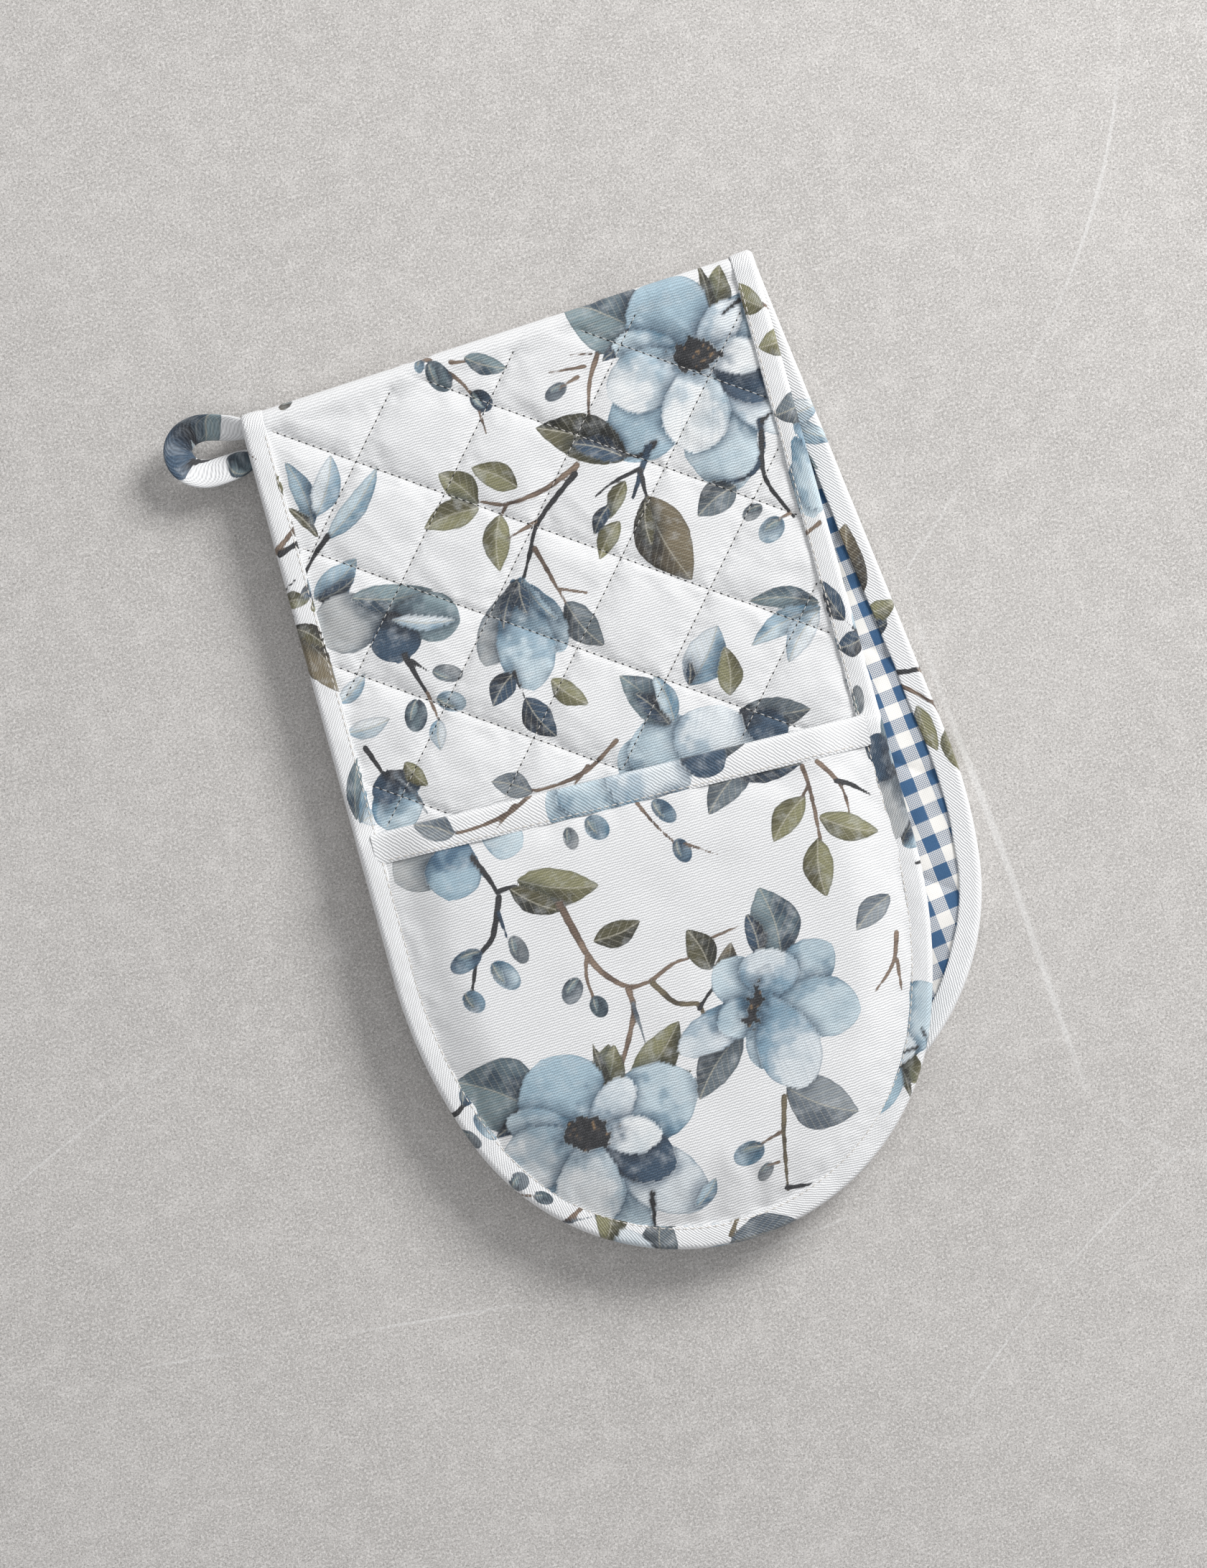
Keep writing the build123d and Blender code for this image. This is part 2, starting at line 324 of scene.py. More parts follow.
@dataclass(frozen=True)
class Quilting:
    """Two families of straight stitched lines that cross the band in diamonds."""

    middle_x: float
    middle_y: float
    fall_angle: float = -38.0
    fall_pitch: float = 39.4
    fall_first: float = -27.1
    rise_angle: float = 46.0
    rise_pitch: float = 36.9
    rise_first: float = -9.9

    def families(self) -> list[tuple[float, float, float]]:
        """Angle in radians, pitch and first offset of each family."""
        return [(math.radians(self.fall_angle), self.fall_pitch, self.fall_first),
                (math.radians(self.rise_angle), self.rise_pitch, self.rise_first)]

    def lines(self, count: int = 10) -> list[tuple[Vector, Vector]]:
        """A point and a unit direction for each line, in flat x and y.

        Args:
            count: How many lines lie on each side of the first.

        Returns:
            The foot of each line and its direction.
        """
        found = []
        for angle, pitch, first in self.families():
            way = Vector((math.cos(angle), math.sin(angle), 0))
            side = Vector((-math.sin(angle), math.cos(angle), 0))
            for k in range(-count, count + 1):
                foot = Vector((self.middle_x, self.middle_y, 0)) + side * (first + k * pitch)
                found.append((foot, way))
        return found

    def distance(self, x: Array, y: Array) -> Array:
        """Distance to the nearest quilting line.

        Args:
            x: Flat x of each place.
            y: Flat y of each place.

        Returns:
            One distance in millimetres for each place.
        """
        nearest = np.full(np.shape(x), 1e3)
        for angle, pitch, first in self.families():
            off = -(x - self.middle_x) * math.sin(angle) + (y - self.middle_y) * math.cos(angle)
            gap = (off - first) / pitch
            nearest = np.minimum(nearest, np.abs(gap - np.round(gap)) * pitch)
        return nearest


# --- printed flowers ----------------------------------------------------------------------


class Tone(Enum):
    """Paint pairs of the print: the lighter wash and the darker one over it."""

    OLIVE = ((144, 142, 106), (78, 74, 44))
    DARK_OLIVE = ((88, 84, 56), (30, 32, 26))
    BROWN = ((126, 114, 90), (52, 44, 34))
    TEAL = ((134, 154, 160), (44, 66, 84))
    SLATE = ((108, 120, 128), (44, 54, 64))
    NAVY = ((50, 76, 100), (10, 20, 36))
    MID = ((172, 198, 212), (62, 98, 126))
    LIGHT = ((206, 223, 231), (96, 136, 160))
    PALE = ((230, 237, 241), (132, 164, 184))
    WHITE = ((243, 246, 247), (160, 184, 198))
    GREY = ((190, 192, 192), (120, 128, 134))
    STEEL = ((146, 154, 160), (84, 96, 108))
    TWIG = ((150, 128, 110), (84, 66, 56))
    INK = ((46, 46, 50), (18, 20, 26))


class Shape(Enum):
    """Outline and brushwork of one painted motif."""

    LEAF = 1
    PETAL = 2
    BUD = 3
    TWIG = 4
    STAMEN = 5


@dataclass(frozen=True)
class Motif:
    """One painted shape: its foot, length, width, direction in degrees (x right, y down) and tone.

    A twig has the points of its line instead, and its width tapers from first to last.
    """

    shape: Shape
    x: float
    y: float
    length: float
    width: float
    angle: float
    tone: Tone
    line: tuple[tuple[float, float], ...] = ()

    def local(self, x: Array, y: Array) -> tuple[Array, Array]:
        """Distances along the motif from its foot and across it.

        Args:
            x: Cloth x of each place.
            y: Cloth y of each place.

        Returns:
            Distance along, and distance across to the right of it.
        """
        c, s = math.cos(math.radians(self.angle)), math.sin(math.radians(self.angle))
        dx, dy = x - self.x, y - self.y
        return dx * c + dy * s, -dx * s + dy * c

    def depth(self, x: Array, y: Array) -> tuple[Array, Array, Array]:
        """How far inside the motif's outline each place is, and its place along and across.

        Args:
            x: Cloth x of each place.
            y: Cloth y of each place.

        Returns:
            Depth, negative outside, and the distances along and across.
        """
        if self.shape is Shape.TWIG:
            return self._twig_depth(x, y)
        a, b = self.local(x, y)
        t = np.clip(a / self.length, 0, 1)
        half = self.width / 2
        if self.shape is Shape.LEAF:
            bow = 0.06 * self.length * np.sin(math.pi * t)
            b = b - bow
            w = half * np.sin(math.pi * t ** 0.86) ** 0.86
            d = (w - np.abs(b)) * 0.88
        elif self.shape is Shape.PETAL:
            ripple = 1 + 0.07 * (mottle(a, b, 6.0, int(self.x * 7 + self.angle) % 999) - 0.5)
            w = half * np.sin(math.pi * t ** 1.35) ** 0.55 * ripple
            w = np.maximum(w, 0.10 * self.width * (1 - t))
            d = (w - np.abs(b)) * 0.9
        else:
            r = np.hypot((a - self.length / 2) / (self.length / 2), b / half)
            d = (1 - r) * min(half, self.length / 2)
            if self.shape is Shape.STAMEN:
                d = d + 3.6 * (mottle(x, y, 2.6, 5) - 0.5) + 1.6 * (mottle(x, y, 1.1, 6) - 0.5)
            return d, a, b
        past = np.maximum(np.maximum(-a, a - self.length), 0)
        d = np.where(past > 0, -np.hypot(past, np.maximum(np.abs(b) - 0.3, 0)), d)
        return d + 0.5 * (mottle(x, y, 2.6, 11) - 0.5), a, b

    def _twig_depth(self, x: Array, y: Array) -> tuple[Array, Array, Array]:
        """Depth inside a line of tapering width that bends softly through its points.

        Args:
            x: Cloth x of each place.
            y: Cloth y of each place.

        Returns:
            Depth, negative outside, and the distances along and across.
        """
        pts = np.array(self.line, float)
        ends = np.concatenate([[2 * pts[0] - pts[1]], pts, [2 * pts[-1] - pts[-2]]])
        fine = [pts[0]]
        for k in range(1, len(ends) - 2):
            for t in np.linspace(0.25, 1, 4):
                p0, p1, p2, p3 = ends[k - 1:k + 3]
                fine.append(0.5 * (2 * p1 + (p2 - p0) * t + (2 * p0 - 5 * p1 + 4 * p2 - p3) * t ** 2
                                   + (3 * p1 - p0 - 3 * p2 + p3) * t ** 3))
        fine = np.array(fine)
        best = np.full(x.shape, 1e3)
        along = np.zeros(x.shape)
        for k in range(len(fine) - 1):
            a, b = fine[k], fine[k + 1]
            d = b - a
            t = np.clip(((x - a[0]) * d[0] + (y - a[1]) * d[1]) / max(d @ d, 1e-9), 0, 1)
            gap = np.hypot(x - a[0] - t * d[0], y - a[1] - t * d[1])
            w = self.width * (1 - 0.55 * (k + t) / (len(fine) - 1))
            depth = gap - w / 2
            closer = depth < best
            best = np.where(closer, depth, best)
            along = np.where(closer, k + t, along)
        return -best + 0.45 * (mottle(x, y, 2.0, 23) - 0.5), along * 3.0, best

    def reach(self) -> tuple[float, float, float, float]:
        """Box that holds the motif: lowest and highest x, lowest and highest y.

        Returns:
            The four limits in millimetres.
        """
        if self.shape is Shape.TWIG:
            xs, ys = [p[0] for p in self.line], [p[1] for p in self.line]
        else:
            c, s = math.cos(math.radians(self.angle)), math.sin(math.radians(self.angle))
            xs = [self.x, self.x + self.length * c]
            ys = [self.y, self.y + self.length * s]
        pad = self.width * 0.75 + 4
        return min(xs) - pad, max(xs) + pad, min(ys) - pad, max(ys) + pad

    def colour(self, x: Array, y: Array, a: Array, b: Array) -> Array:
        """Wash colour at each place, lighter and darker over the brush's path.

        Args:
            x: Cloth x of each place.
            y: Cloth y of each place.
            a: Distance of each place along the motif.
            b: Distance of each place across it.

        Returns:
            Rows of red, green and blue light.
        """
        light, dark = (np.array(linear(*c)) for c in self.tone.value)
        t = np.clip(a / max(self.length, 1), 0, 1)
        blot = mottle(x, y, 7.0, 31) * 0.6 + mottle(x, y, 2.6, 37) * 0.4
        if self.shape is Shape.LEAF:
            g = 0.30 + 0.34 * np.tanh(b / 1.2) + 0.75 * (blot - 0.5) + 0.25 * (1 - t)
        elif self.shape is Shape.PETAL:
            rim = np.clip(np.abs(b) / (self.width / 2), 0, 1)
            side = np.clip(b / self.width + 0.5, 0, 1) * ((int(self.angle) % 2) * 2 - 1)
            g = 1.25 * (1 - t) ** 1.8 + 0.35 * rim ** 3 + 0.9 * (blot - 0.5) + 0.30 * side - 0.02
        elif self.shape is Shape.BUD:
            spot = np.hypot((t - 0.62) * self.length, b - 0.1 * self.width) / self.width
            g = 0.15 + 1.5 * (blot - 0.5) + 0.9 * np.clip(spot, 0, 0.8)
        elif self.shape is Shape.TWIG:
            g = 0.35 + 1.5 * (blot - 0.5)
        else:
            speck = mottle(x, y, 1.3, 41)
            gold = np.array(linear(150, 120, 84))
            base = dark + (light - dark) * eased(speck, 0.45, 0.7)[:, None]
            return base + (gold - base) * (eased(speck, 0.84, 0.92) * 0.8)[:, None]
        layered = 0.45 * np.clip(g, 0, 1) + 0.35 * eased(g, 0.36, 0.50) + 0.20 * eased(g, 0.70, 0.80)
        return light + (dark - light) * layered[:, None]


def leaf(x: float, y: float, tx: float, ty: float, width: float, tone: Tone) -> Motif:
    """Leaf from its foot to its tip."""
    return Motif(Shape.LEAF, x, y, math.hypot(tx - x, ty - y), width,
                 math.degrees(math.atan2(ty - y, tx - x)), tone)


def petal(x: float, y: float, tx: float, ty: float, width: float, tone: Tone) -> Motif:
    """Petal from its foot to its rounded tip."""
    return Motif(Shape.PETAL, x, y, math.hypot(tx - x, ty - y), width,
                 math.degrees(math.atan2(ty - y, tx - x)), tone)


def bud(x: float, y: float, length: float, width: float, angle: float, tone: Tone) -> list[Motif]:
    """Bud about its middle, with a darker sepal at its foot.

    Args:
        x: Cloth x of its middle.
        y: Cloth y of its middle.
        length: Length.
        width: Width.
        angle: Direction of its tip in degrees.
        tone: Its paints.

    Returns:
        The bud and its sepal.
    """
    c, s = math.cos(math.radians(angle)), math.sin(math.radians(angle))
    fx, fy = x - c * length / 2, y - s * length / 2
    return [Motif(Shape.BUD, fx, fy, length, width, angle, tone),
            Motif(Shape.LEAF, fx, fy, length * 0.7, width * 0.4, angle + 14, Tone.TEAL)]


def twig(width: float, *line: tuple[float, float], tone: Tone = Tone.TWIG) -> Motif:
    """Twig through its points, widest at the first."""
    return Motif(Shape.TWIG, line[0][0], line[0][1], 30.0, width, 0, tone, line)


def magnolia(cx: float, cy: float, size: float = 1.0) -> list[Motif]:
    """Large open flower: back petals first, then the front ones and the stamens.

    Args:
        cx: Cloth x of its heart.
        cy: Cloth y of its heart.
        size: Size over the usual one.

    Returns:
        Its parts, lowest first.
    """
    def at(make: Callable[..., Motif], dx: float, dy: float, width: float, tone: Tone,
           fx: float = 0.0, fy: float = 0.0) -> Motif:
        """One petal or leaf of this flower, from near its heart outwards.

        Args:
            make: Maker of a leaf or a petal.
            dx: The tip's x from the heart.
            dy: The tip's y from the heart.
            width: Width.
            tone: Its paints.
            fx: The foot's x from the heart.
            fy: The foot's y from the heart.

        Returns:
            The motif.
        """
        return make(cx + fx * size, cy + fy * size, cx + dx * size, cy + dy * size,
                    width * size, tone)

    return [
        at(leaf, -44, -36, 30, Tone.TEAL, -16, -14), at(leaf, -36, -10, 9, Tone.NAVY, -8, -16),
        at(leaf, 20, -31, 12, Tone.OLIVE, 8, -12), at(leaf, 12, -34, 5, Tone.DARK_OLIVE, 9, -10),
        at(petal, -2, 55, 30, Tone.LIGHT), at(petal, 36, 40, 26, Tone.PALE),
        at(petal, 46, -8, 30, Tone.LIGHT), at(petal, -42, 28, 30, Tone.MID),
        at(petal, -9, -34, 35, Tone.MID, -1, 2), at(petal, 22, -16, 15, Tone.PALE),
        at(petal, -30, -15, 16, Tone.LIGHT), at(petal, 28, 22, 22, Tone.NAVY),
        at(petal, -38, 4, 25, Tone.WHITE), at(petal, 27, 8, 15, Tone.WHITE),
        at(petal, -12, 36, 27, Tone.WHITE),
        Motif(Shape.STAMEN, cx - 9 * size, cy - 3, 19 * size, 13 * size, 15, Tone.INK),
    ]


def open_flower(cx: float, cy: float) -> list[Motif]:
    """Second flower, turned so that its heart is a long dark oval.

    Args:
        cx: Cloth x of its heart.
        cy: Cloth y of its heart.

    Returns:
        Its parts, lowest first.
    """
    return [
        leaf(cx + 10, cy - 15, cx + 10, cy - 44, 20, Tone.TEAL),
        leaf(cx + 2, cy - 18, cx + 2, cy - 36, 8, Tone.NAVY),
        leaf(cx - 14, cy + 8, cx - 38, cy + 28, 15, Tone.SLATE),
        leaf(cx - 4, cy + 34, cx + 20, cy + 52, 21, Tone.STEEL),
        petal(cx, cy - 2, cx - 40, cy + 8, 16, Tone.PALE), petal(cx, cy, cx - 16, cy - 20, 20, Tone.LIGHT),
        petal(cx, cy, cx + 30, cy - 14, 20, Tone.LIGHT), petal(cx, cy, cx + 33, cy + 14, 24, Tone.LIGHT),
        petal(cx, cy, cx - 22, cy + 4, 16, Tone.LIGHT), petal(cx, cy, cx + 6, cy - 20, 24, Tone.PALE),
        petal(cx - 2, cy, cx - 8, cy + 26, 18, Tone.LIGHT), petal(cx, cy - 3, cx + 3, cy + 36, 25, Tone.PALE),
        Motif(Shape.STAMEN, cx - 3, cy - 6, 15, 6, 118, Tone.INK),
    ]


BAND_MOTIFS: list[Motif] = [
    twig(2.0, (-35, 0), (-27, 8), (-20, 20), (-19, 37)), twig(1.5, (-24, 6), (-16, 8)),
    *bud(-30, 10, 13, 9, 70, Tone.TEAL), *bud(-17, 24, 10, 8, 60, Tone.NAVY),
    leaf(-18, 6, -3, 15, 8, Tone.TEAL), *bud(-36, 4, 5, 4, 120, Tone.MID),
    *bud(-91, 2, 6, 4, 160, Tone.BROWN),
    twig(2.2, (33, 20), (26, 30), (21, 44)), twig(1.6, (26, 24), (12, 22)), twig(1.4, (30, 20), (22, 18)),
    *bud(12, 30, 10, 6, 160, Tone.STEEL), twig(1.6, (22, 27), (14, 29)),
    *magnolia(69, 34),
    twig(2.6, (85, 66), (82, 78), (74, 85), (60, 84), tone=Tone.NAVY),
    twig(2.4, (84, 70), (80, 88), (86, 106), tone=Tone.INK),
    leaf(68, 87, 50, 94, 13, Tone.SLATE), twig(1.8, (86, 66), (90, 64), tone=Tone.INK),
    *bud(71, 99, 9, 6, 160, Tone.GREY), *bud(76, 108, 12, 9, 150, Tone.LIGHT),
    twig(1.6, (85, 104), (80, 105)), twig(2.0, (92, 18), (84, 21), tone=Tone.INK),
    twig(1.8, (94, 2), (97, 14), (98, 23), tone=Tone.INK),
    leaf(31, 63, 0, 41, 19, Tone.DARK_OLIVE), leaf(30, 63, 11, 51, 10, Tone.NAVY),
    twig(2.6, (43, 61), (36, 64), (30, 62), tone=Tone.INK),
    twig(2.8, (40, 62), (33, 72), (28, 79), tone=Tone.NAVY),
    twig(1.8, (34, 69), (22, 71), (14, 74), tone=Tone.INK), twig(2.2, (34, 70), (33, 82), tone=Tone.INK),
    leaf(27, 72, 17, 84, 7, Tone.OLIVE), leaf(18, 79, 9, 88, 6, Tone.NAVY), leaf(20, 86, 8, 98, 8, Tone.OLIVE),
    leaf(33, 80, 40, 117, 22, Tone.BROWN), leaf(32, 82, 29, 100, 7, Tone.DARK_OLIVE),
    twig(2.4, (11, 60), (-4, 65), (-20, 66), (-31, 61)), twig(1.6, (-20, 66), (-26, 72)),
    leaf(-31, 62, -42, 46, 12, Tone.OLIVE), leaf(-14, 61, -29, 48, 11, Tone.OLIVE),
    leaf(-31, 64, -54, 65, 12, Tone.OLIVE), leaf(-24, 69, -31, 90, 11, Tone.OLIVE),
    twig(2.4, (9, 63), (-10, 76), (-18, 88), (-23, 96), tone=Tone.INK), twig(1.6, (-11, 76), (-24, 79)),
    twig(2.0, (-15, 86), (-12, 101), (-10, 111)), twig(1.6, (-11, 104), (-1, 109)),
    leaf(-10, 110, -1, 131, 13, Tone.SLATE),
    petal(-25, 96, -48, 124, 16, Tone.GREY), petal(-24, 96, -17, 128, 15, Tone.LIGHT),
    petal(-26, 95, -33, 139, 23, Tone.LIGHT), leaf(-25, 95, -37, 113, 6, Tone.NAVY),
    leaf(-24, 95, -15, 116, 5, Tone.MID), leaf(-25, 96, -26, 110, 7, Tone.NAVY),
    leaf(-38, 130, -50, 140, 10, Tone.NAVY), leaf(-37, 141, -30, 159, 12, Tone.NAVY),
    twig(1.4, (-38, 130), (-37, 142), tone=Tone.INK), leaf(-25, 137, -14, 151, 9, Tone.OLIVE),
    leaf(-95, 50, -98, 23, 9, Tone.MID), leaf(-93, 47, -80, 26, 11, Tone.PALE),
    leaf(-92, 57, -64, 36, 9, Tone.LIGHT), leaf(-95, 55, -103, 40, 4, Tone.DARK_OLIVE),
    twig(2.4, (-91, 56), (-98, 61), (-106, 69), tone=Tone.INK),
    leaf(-104, 78, -83, 68, 12, Tone.MID), leaf(-103, 79, -86, 75, 6, Tone.NAVY),
    petal(-76, 92, -108, 90, 24, Tone.GREY), leaf(-90, 82, -58, 89, 12, Tone.TEAL),
    petal(-76, 92, -52, 104, 20, Tone.TEAL), petal(-77, 92, -80, 112, 20, Tone.NAVY),
    leaf(-77, 95, -53, 103, 6, Tone.PALE), twig(2.6, (-77, 110), (-75, 119), (-73, 128), tone=Tone.INK),
    twig(1.6, (-75, 113), (-70, 119), tone=Tone.INK), twig(1.6, (-73, 127), (-72, 140)),
    *bud(-63, 122, 12, 7, 25, Tone.GREY), *bud(-80, 134, 13, 9, 110, Tone.TEAL),
    *bud(-65, 133, 12, 8, 30, Tone.LIGHT), leaf(-72, 138, -75, 150, 7, Tone.PALE),
    leaf(-108, 120, -94, 112, 7, Tone.PALE), leaf(-108, 132, -90, 132, 8, Tone.WHITE),
    twig(2.2, (-103, 140), (-100, 150), (-98, 156), tone=Tone.INK), petal(-99, 152, -98, 176, 20, Tone.LIGHT),
    petal(-99, 151, -102, 164, 11, Tone.NAVY), petal(-98, 151, -88, 162, 8, Tone.NAVY),
    twig(1.8, (-95, 154), (-90, 163), (-88, 172), tone=Tone.STEEL), leaf(-90, 150, -84, 162, 7, Tone.OLIVE),
    petal(10, 190, -8, 172, 22, Tone.LIGHT), petal(14, 194, 6, 164, 30, Tone.LIGHT),
    petal(20, 196, 36, 168, 34, Tone.PALE), leaf(14, 169, 1, 144, 15, Tone.TEAL),
    leaf(14, 169, 4, 152, 8, Tone.NAVY), leaf(16, 168, 14, 148, 8, Tone.LIGHT),
    leaf(26, 156, 44, 137, 17, Tone.PALE), leaf(40, 165, 44, 146, 10, Tone.OLIVE),
    leaf(26, 156, 29, 147, 4, Tone.NAVY), leaf(43, 172, 69, 180, 13, Tone.SLATE),
    petal(42, 172, 56, 188, 15, Tone.NAVY), leaf(85, 141, 59, 132, 9, Tone.TEAL),
    leaf(85, 143, 54, 149, 10, Tone.LIGHT), leaf(84, 144, 66, 160, 10, Tone.PALE),
    twig(2.0, (-8, 168), (-24, 176), (-44, 177), (-48, 172)), leaf(-46, 177, -60, 168, 10, Tone.STEEL),
    twig(1.6, (-22, 174), (-30, 180)),
]
POCKET_MOTIFS: list[Motif] = [
    petal(-76, 184, -108, 194, 22, Tone.GREY), petal(-78, 184, -90, 207, 22, Tone.MID),
    petal(-70, 184, -56, 196, 16, Tone.LIGHT), twig(2.6, (-76, 194), (-72, 206), (-71, 212), tone=Tone.INK),
    leaf(40, 192, 17, 207, 13, Tone.SLATE), leaf(30, 192, 58, 199, 10, Tone.NAVY),
    twig(2.6, (-71, 212), (-78, 226), (-86, 232), (-92, 243), tone=Tone.INK),
    twig(1.8, (-73, 218), (-73, 228), tone=Tone.NAVY),
    twig(2.0, (-71, 210), (-64, 210), (-58, 214), tone=Tone.INK),
    *bud(-91, 232, 14, 8, 165, Tone.MID), *bud(-78, 242, 14, 9, 60, Tone.LIGHT), *bud(-70, 234, 12, 7, 80, Tone.GREY),
    *bud(-93, 248, 10, 8, 60, Tone.PALE), leaf(-62, 208, -32, 220, 15, Tone.OLIVE),
    leaf(-66, 210, -49, 225, 9, Tone.DARK_OLIVE),
    twig(3.2, (-49, 222), (-46, 240), (-42, 252), (-34, 261), (-25, 262)),
    twig(1.8, (-25, 262), (-14, 258), (-8, 258)),
    twig(2.6, (-24, 263), (-18, 273), (-10, 276), (-9, 281), tone=Tone.BROWN),
    twig(1.6, (-10, 278), (0, 270), tone=Tone.INK),
    twig(1.8, (-45, 244), (-48, 252), (-48, 262)), *bud(-55, 256, 11, 8, 130, Tone.STEEL),
    *bud(-47, 265, 9, 7, 80, Tone.TEAL),
    leaf(-41, 240, -21, 238, 10, Tone.DARK_OLIVE), twig(2.6, (-34, 262), (-35, 272), (-46, 290), (-52, 296)),
    twig(1.8, (-34, 268), (-34, 284), tone=Tone.STEEL), twig(1.3, (4, 253), (15, 252)),
    leaf(-1, 265, -5, 247, 12, Tone.DARK_OLIVE), leaf(0, 272, 10, 257, 9, Tone.BROWN),
    *bud(-37, 199, 9, 6, 90, Tone.GREY), *bud(-26, 198, 11, 9, 60, Tone.LIGHT), *bud(1, 200, 12, 7, 60, Tone.MID),
    twig(1.6, (-8, 194), (-4, 204), (1, 213)), *bud(3, 217, 10, 7, 80, Tone.MID),
    twig(1.3, (5, 215), (16, 223)),
    twig(2.0, (58, 200), (58, 210), (56, 228), (55, 232)), twig(2.0, (64, 200), (70, 212), (70, 226)),
    twig(2.2, (69, 210), (74, 213), (80, 219), tone=Tone.INK), twig(1.6, (58, 208), (52, 214)),
    leaf(55, 212, 38, 225, 11, Tone.OLIVE), leaf(58, 221, 79, 234, 11, Tone.OLIVE),
    leaf(55, 229, 51, 252, 12, Tone.OLIVE),
    leaf(75, 259, 58, 268, 10, Tone.STEEL), twig(2.0, (73, 274), (68, 285), (58, 293)),
    twig(1.6, (70, 284), (68, 296)),
    leaf(-58, 298, -48, 280, 13, Tone.OLIVE), leaf(-45, 299, -19, 280, 15, Tone.OLIVE),
    leaf(-52, 298, -20, 300, 8, Tone.DARK_OLIVE), leaf(-58, 300, -58, 284, 5, Tone.INK),
    *magnolia(-66, 312), *open_flower(17, 284),
    twig(2.4, (11, 321), (6, 336), (1, 357), tone=Tone.BROWN), twig(1.6, (5, 334), (-4, 336)),
    twig(2.0, (1, 356), (12, 358), tone=Tone.INK),
    *bud(-9, 338, 13, 9, 170, Tone.LIGHT), *bud(-5, 347, 9, 5, 140, Tone.GREY), twig(1.4, (1, 345), (-4, 345)),
    twig(2.6, (-50, 341), (-53, 354), tone=Tone.INK), leaf(-35, 352, -24, 343, 6, Tone.MID),
    *bud(-112, 296, 7, 5, 10, Tone.BROWN),
]


class Cut(Enum):
    """Which part of the printed cloth a piece was cut from."""

    BAND = "band"
    POCKET = "pocket"
    TAPE = "tape"


@dataclass(frozen=True)
class FloralPrint:
    """Watercolour flowers printed in a repeat, stored on each piece's own cloth."""

    repeat_x: float = 252.0
    repeat_y: float = 384.0

    def motifs(self, cut: Cut) -> list[Motif]:
        """Painted shapes on one cut of cloth, from the lowest wash up."""
        return {Cut.BAND: BAND_MOTIFS, Cut.POCKET: POCKET_MOTIFS,
                Cut.TAPE: BAND_MOTIFS + POCKET_MOTIFS}[cut]

    def paint(self, mesh: bpy.types.Mesh, x: Array, y: Array, cut: Cut) -> None:
        """Stores the print on a mesh: wash colour, distance to outlines, and brush direction.

        Args:
            mesh: Mesh to print on.
            x: Cloth coordinate of each vertex along the weft, in millimetres.
            y: Cloth coordinate of each vertex along the warp.
            cut: Part of the cloth that the piece was cut from.
        """
        count = len(x)
        ink = np.tile(np.array(linear(200, 205, 210)), (count, 1))
        edge = np.full(count, -9.0)
        rim = np.full(count, 9.0)
        under = np.full(count, 99.0)
        grain = np.zeros((count, 3))
        tiles_x, tiles_y = (range(math.floor((v.min() + start) / repeat), math.floor((v.max() + start) / repeat) + 1)
                            for v, start, repeat in ((x, 126, self.repeat_x), (y, 6, self.repeat_y)))
        for motif in self.motifs(cut):
            x0, x1, y0, y1 = motif.reach()
            for i in tiles_x:
                for j in tiles_y:
                    sx, sy = i * self.repeat_x, j * self.repeat_y
                    near = np.nonzero((x > x0 + sx) & (x < x1 + sx) & (y > y0 + sy) & (y < y1 + sy))[0]
                    if not len(near):
                        continue
                    px, py = x[near] - sx, y[near] - sy
                    depth, a, b = motif.depth(px, py)
                    take = (depth > 0) | ((depth > -3) & (edge[near] < 0) & (depth > edge[near]))
                    outside = (depth <= 0) & (edge[near] > 0)
                    behind = near[outside]
                    rim[behind] = np.minimum(rim[behind], -depth[outside])
                    if motif.shape in (Shape.PETAL, Shape.LEAF, Shape.STAMEN):
                        under[behind] = np.minimum(under[behind], -depth[outside])
                    spot = near[take]
                    ink[spot] = motif.colour(px, py, a, b)[take]
                    edge[spot] = depth[take]
                    rim[spot] = np.abs(depth[take])
                    under[near[depth > 0]] = 99.0
                    grain[spot] = np.stack([a, b, np.full(len(a), float(motif.shape.value))], axis=1)[take]
        outlines = np.stack([edge, rim, np.minimum(under, 12.0)], axis=1)
        for name, kind, field, rows in (
                ("ink", "FLOAT_COLOR", "color", np.concatenate([ink, np.ones((count, 1))], axis=1)),
                ("outline", "FLOAT_VECTOR", "vector", outlines), ("brush", "FLOAT_VECTOR", "vector", grain)):
            stored = mesh.attributes.new(name, kind, "POINT")
            stored.data.foreach_set(field, rows.ravel().astype(np.float32))


# --- finishes -----------------------------------------------------------------------------


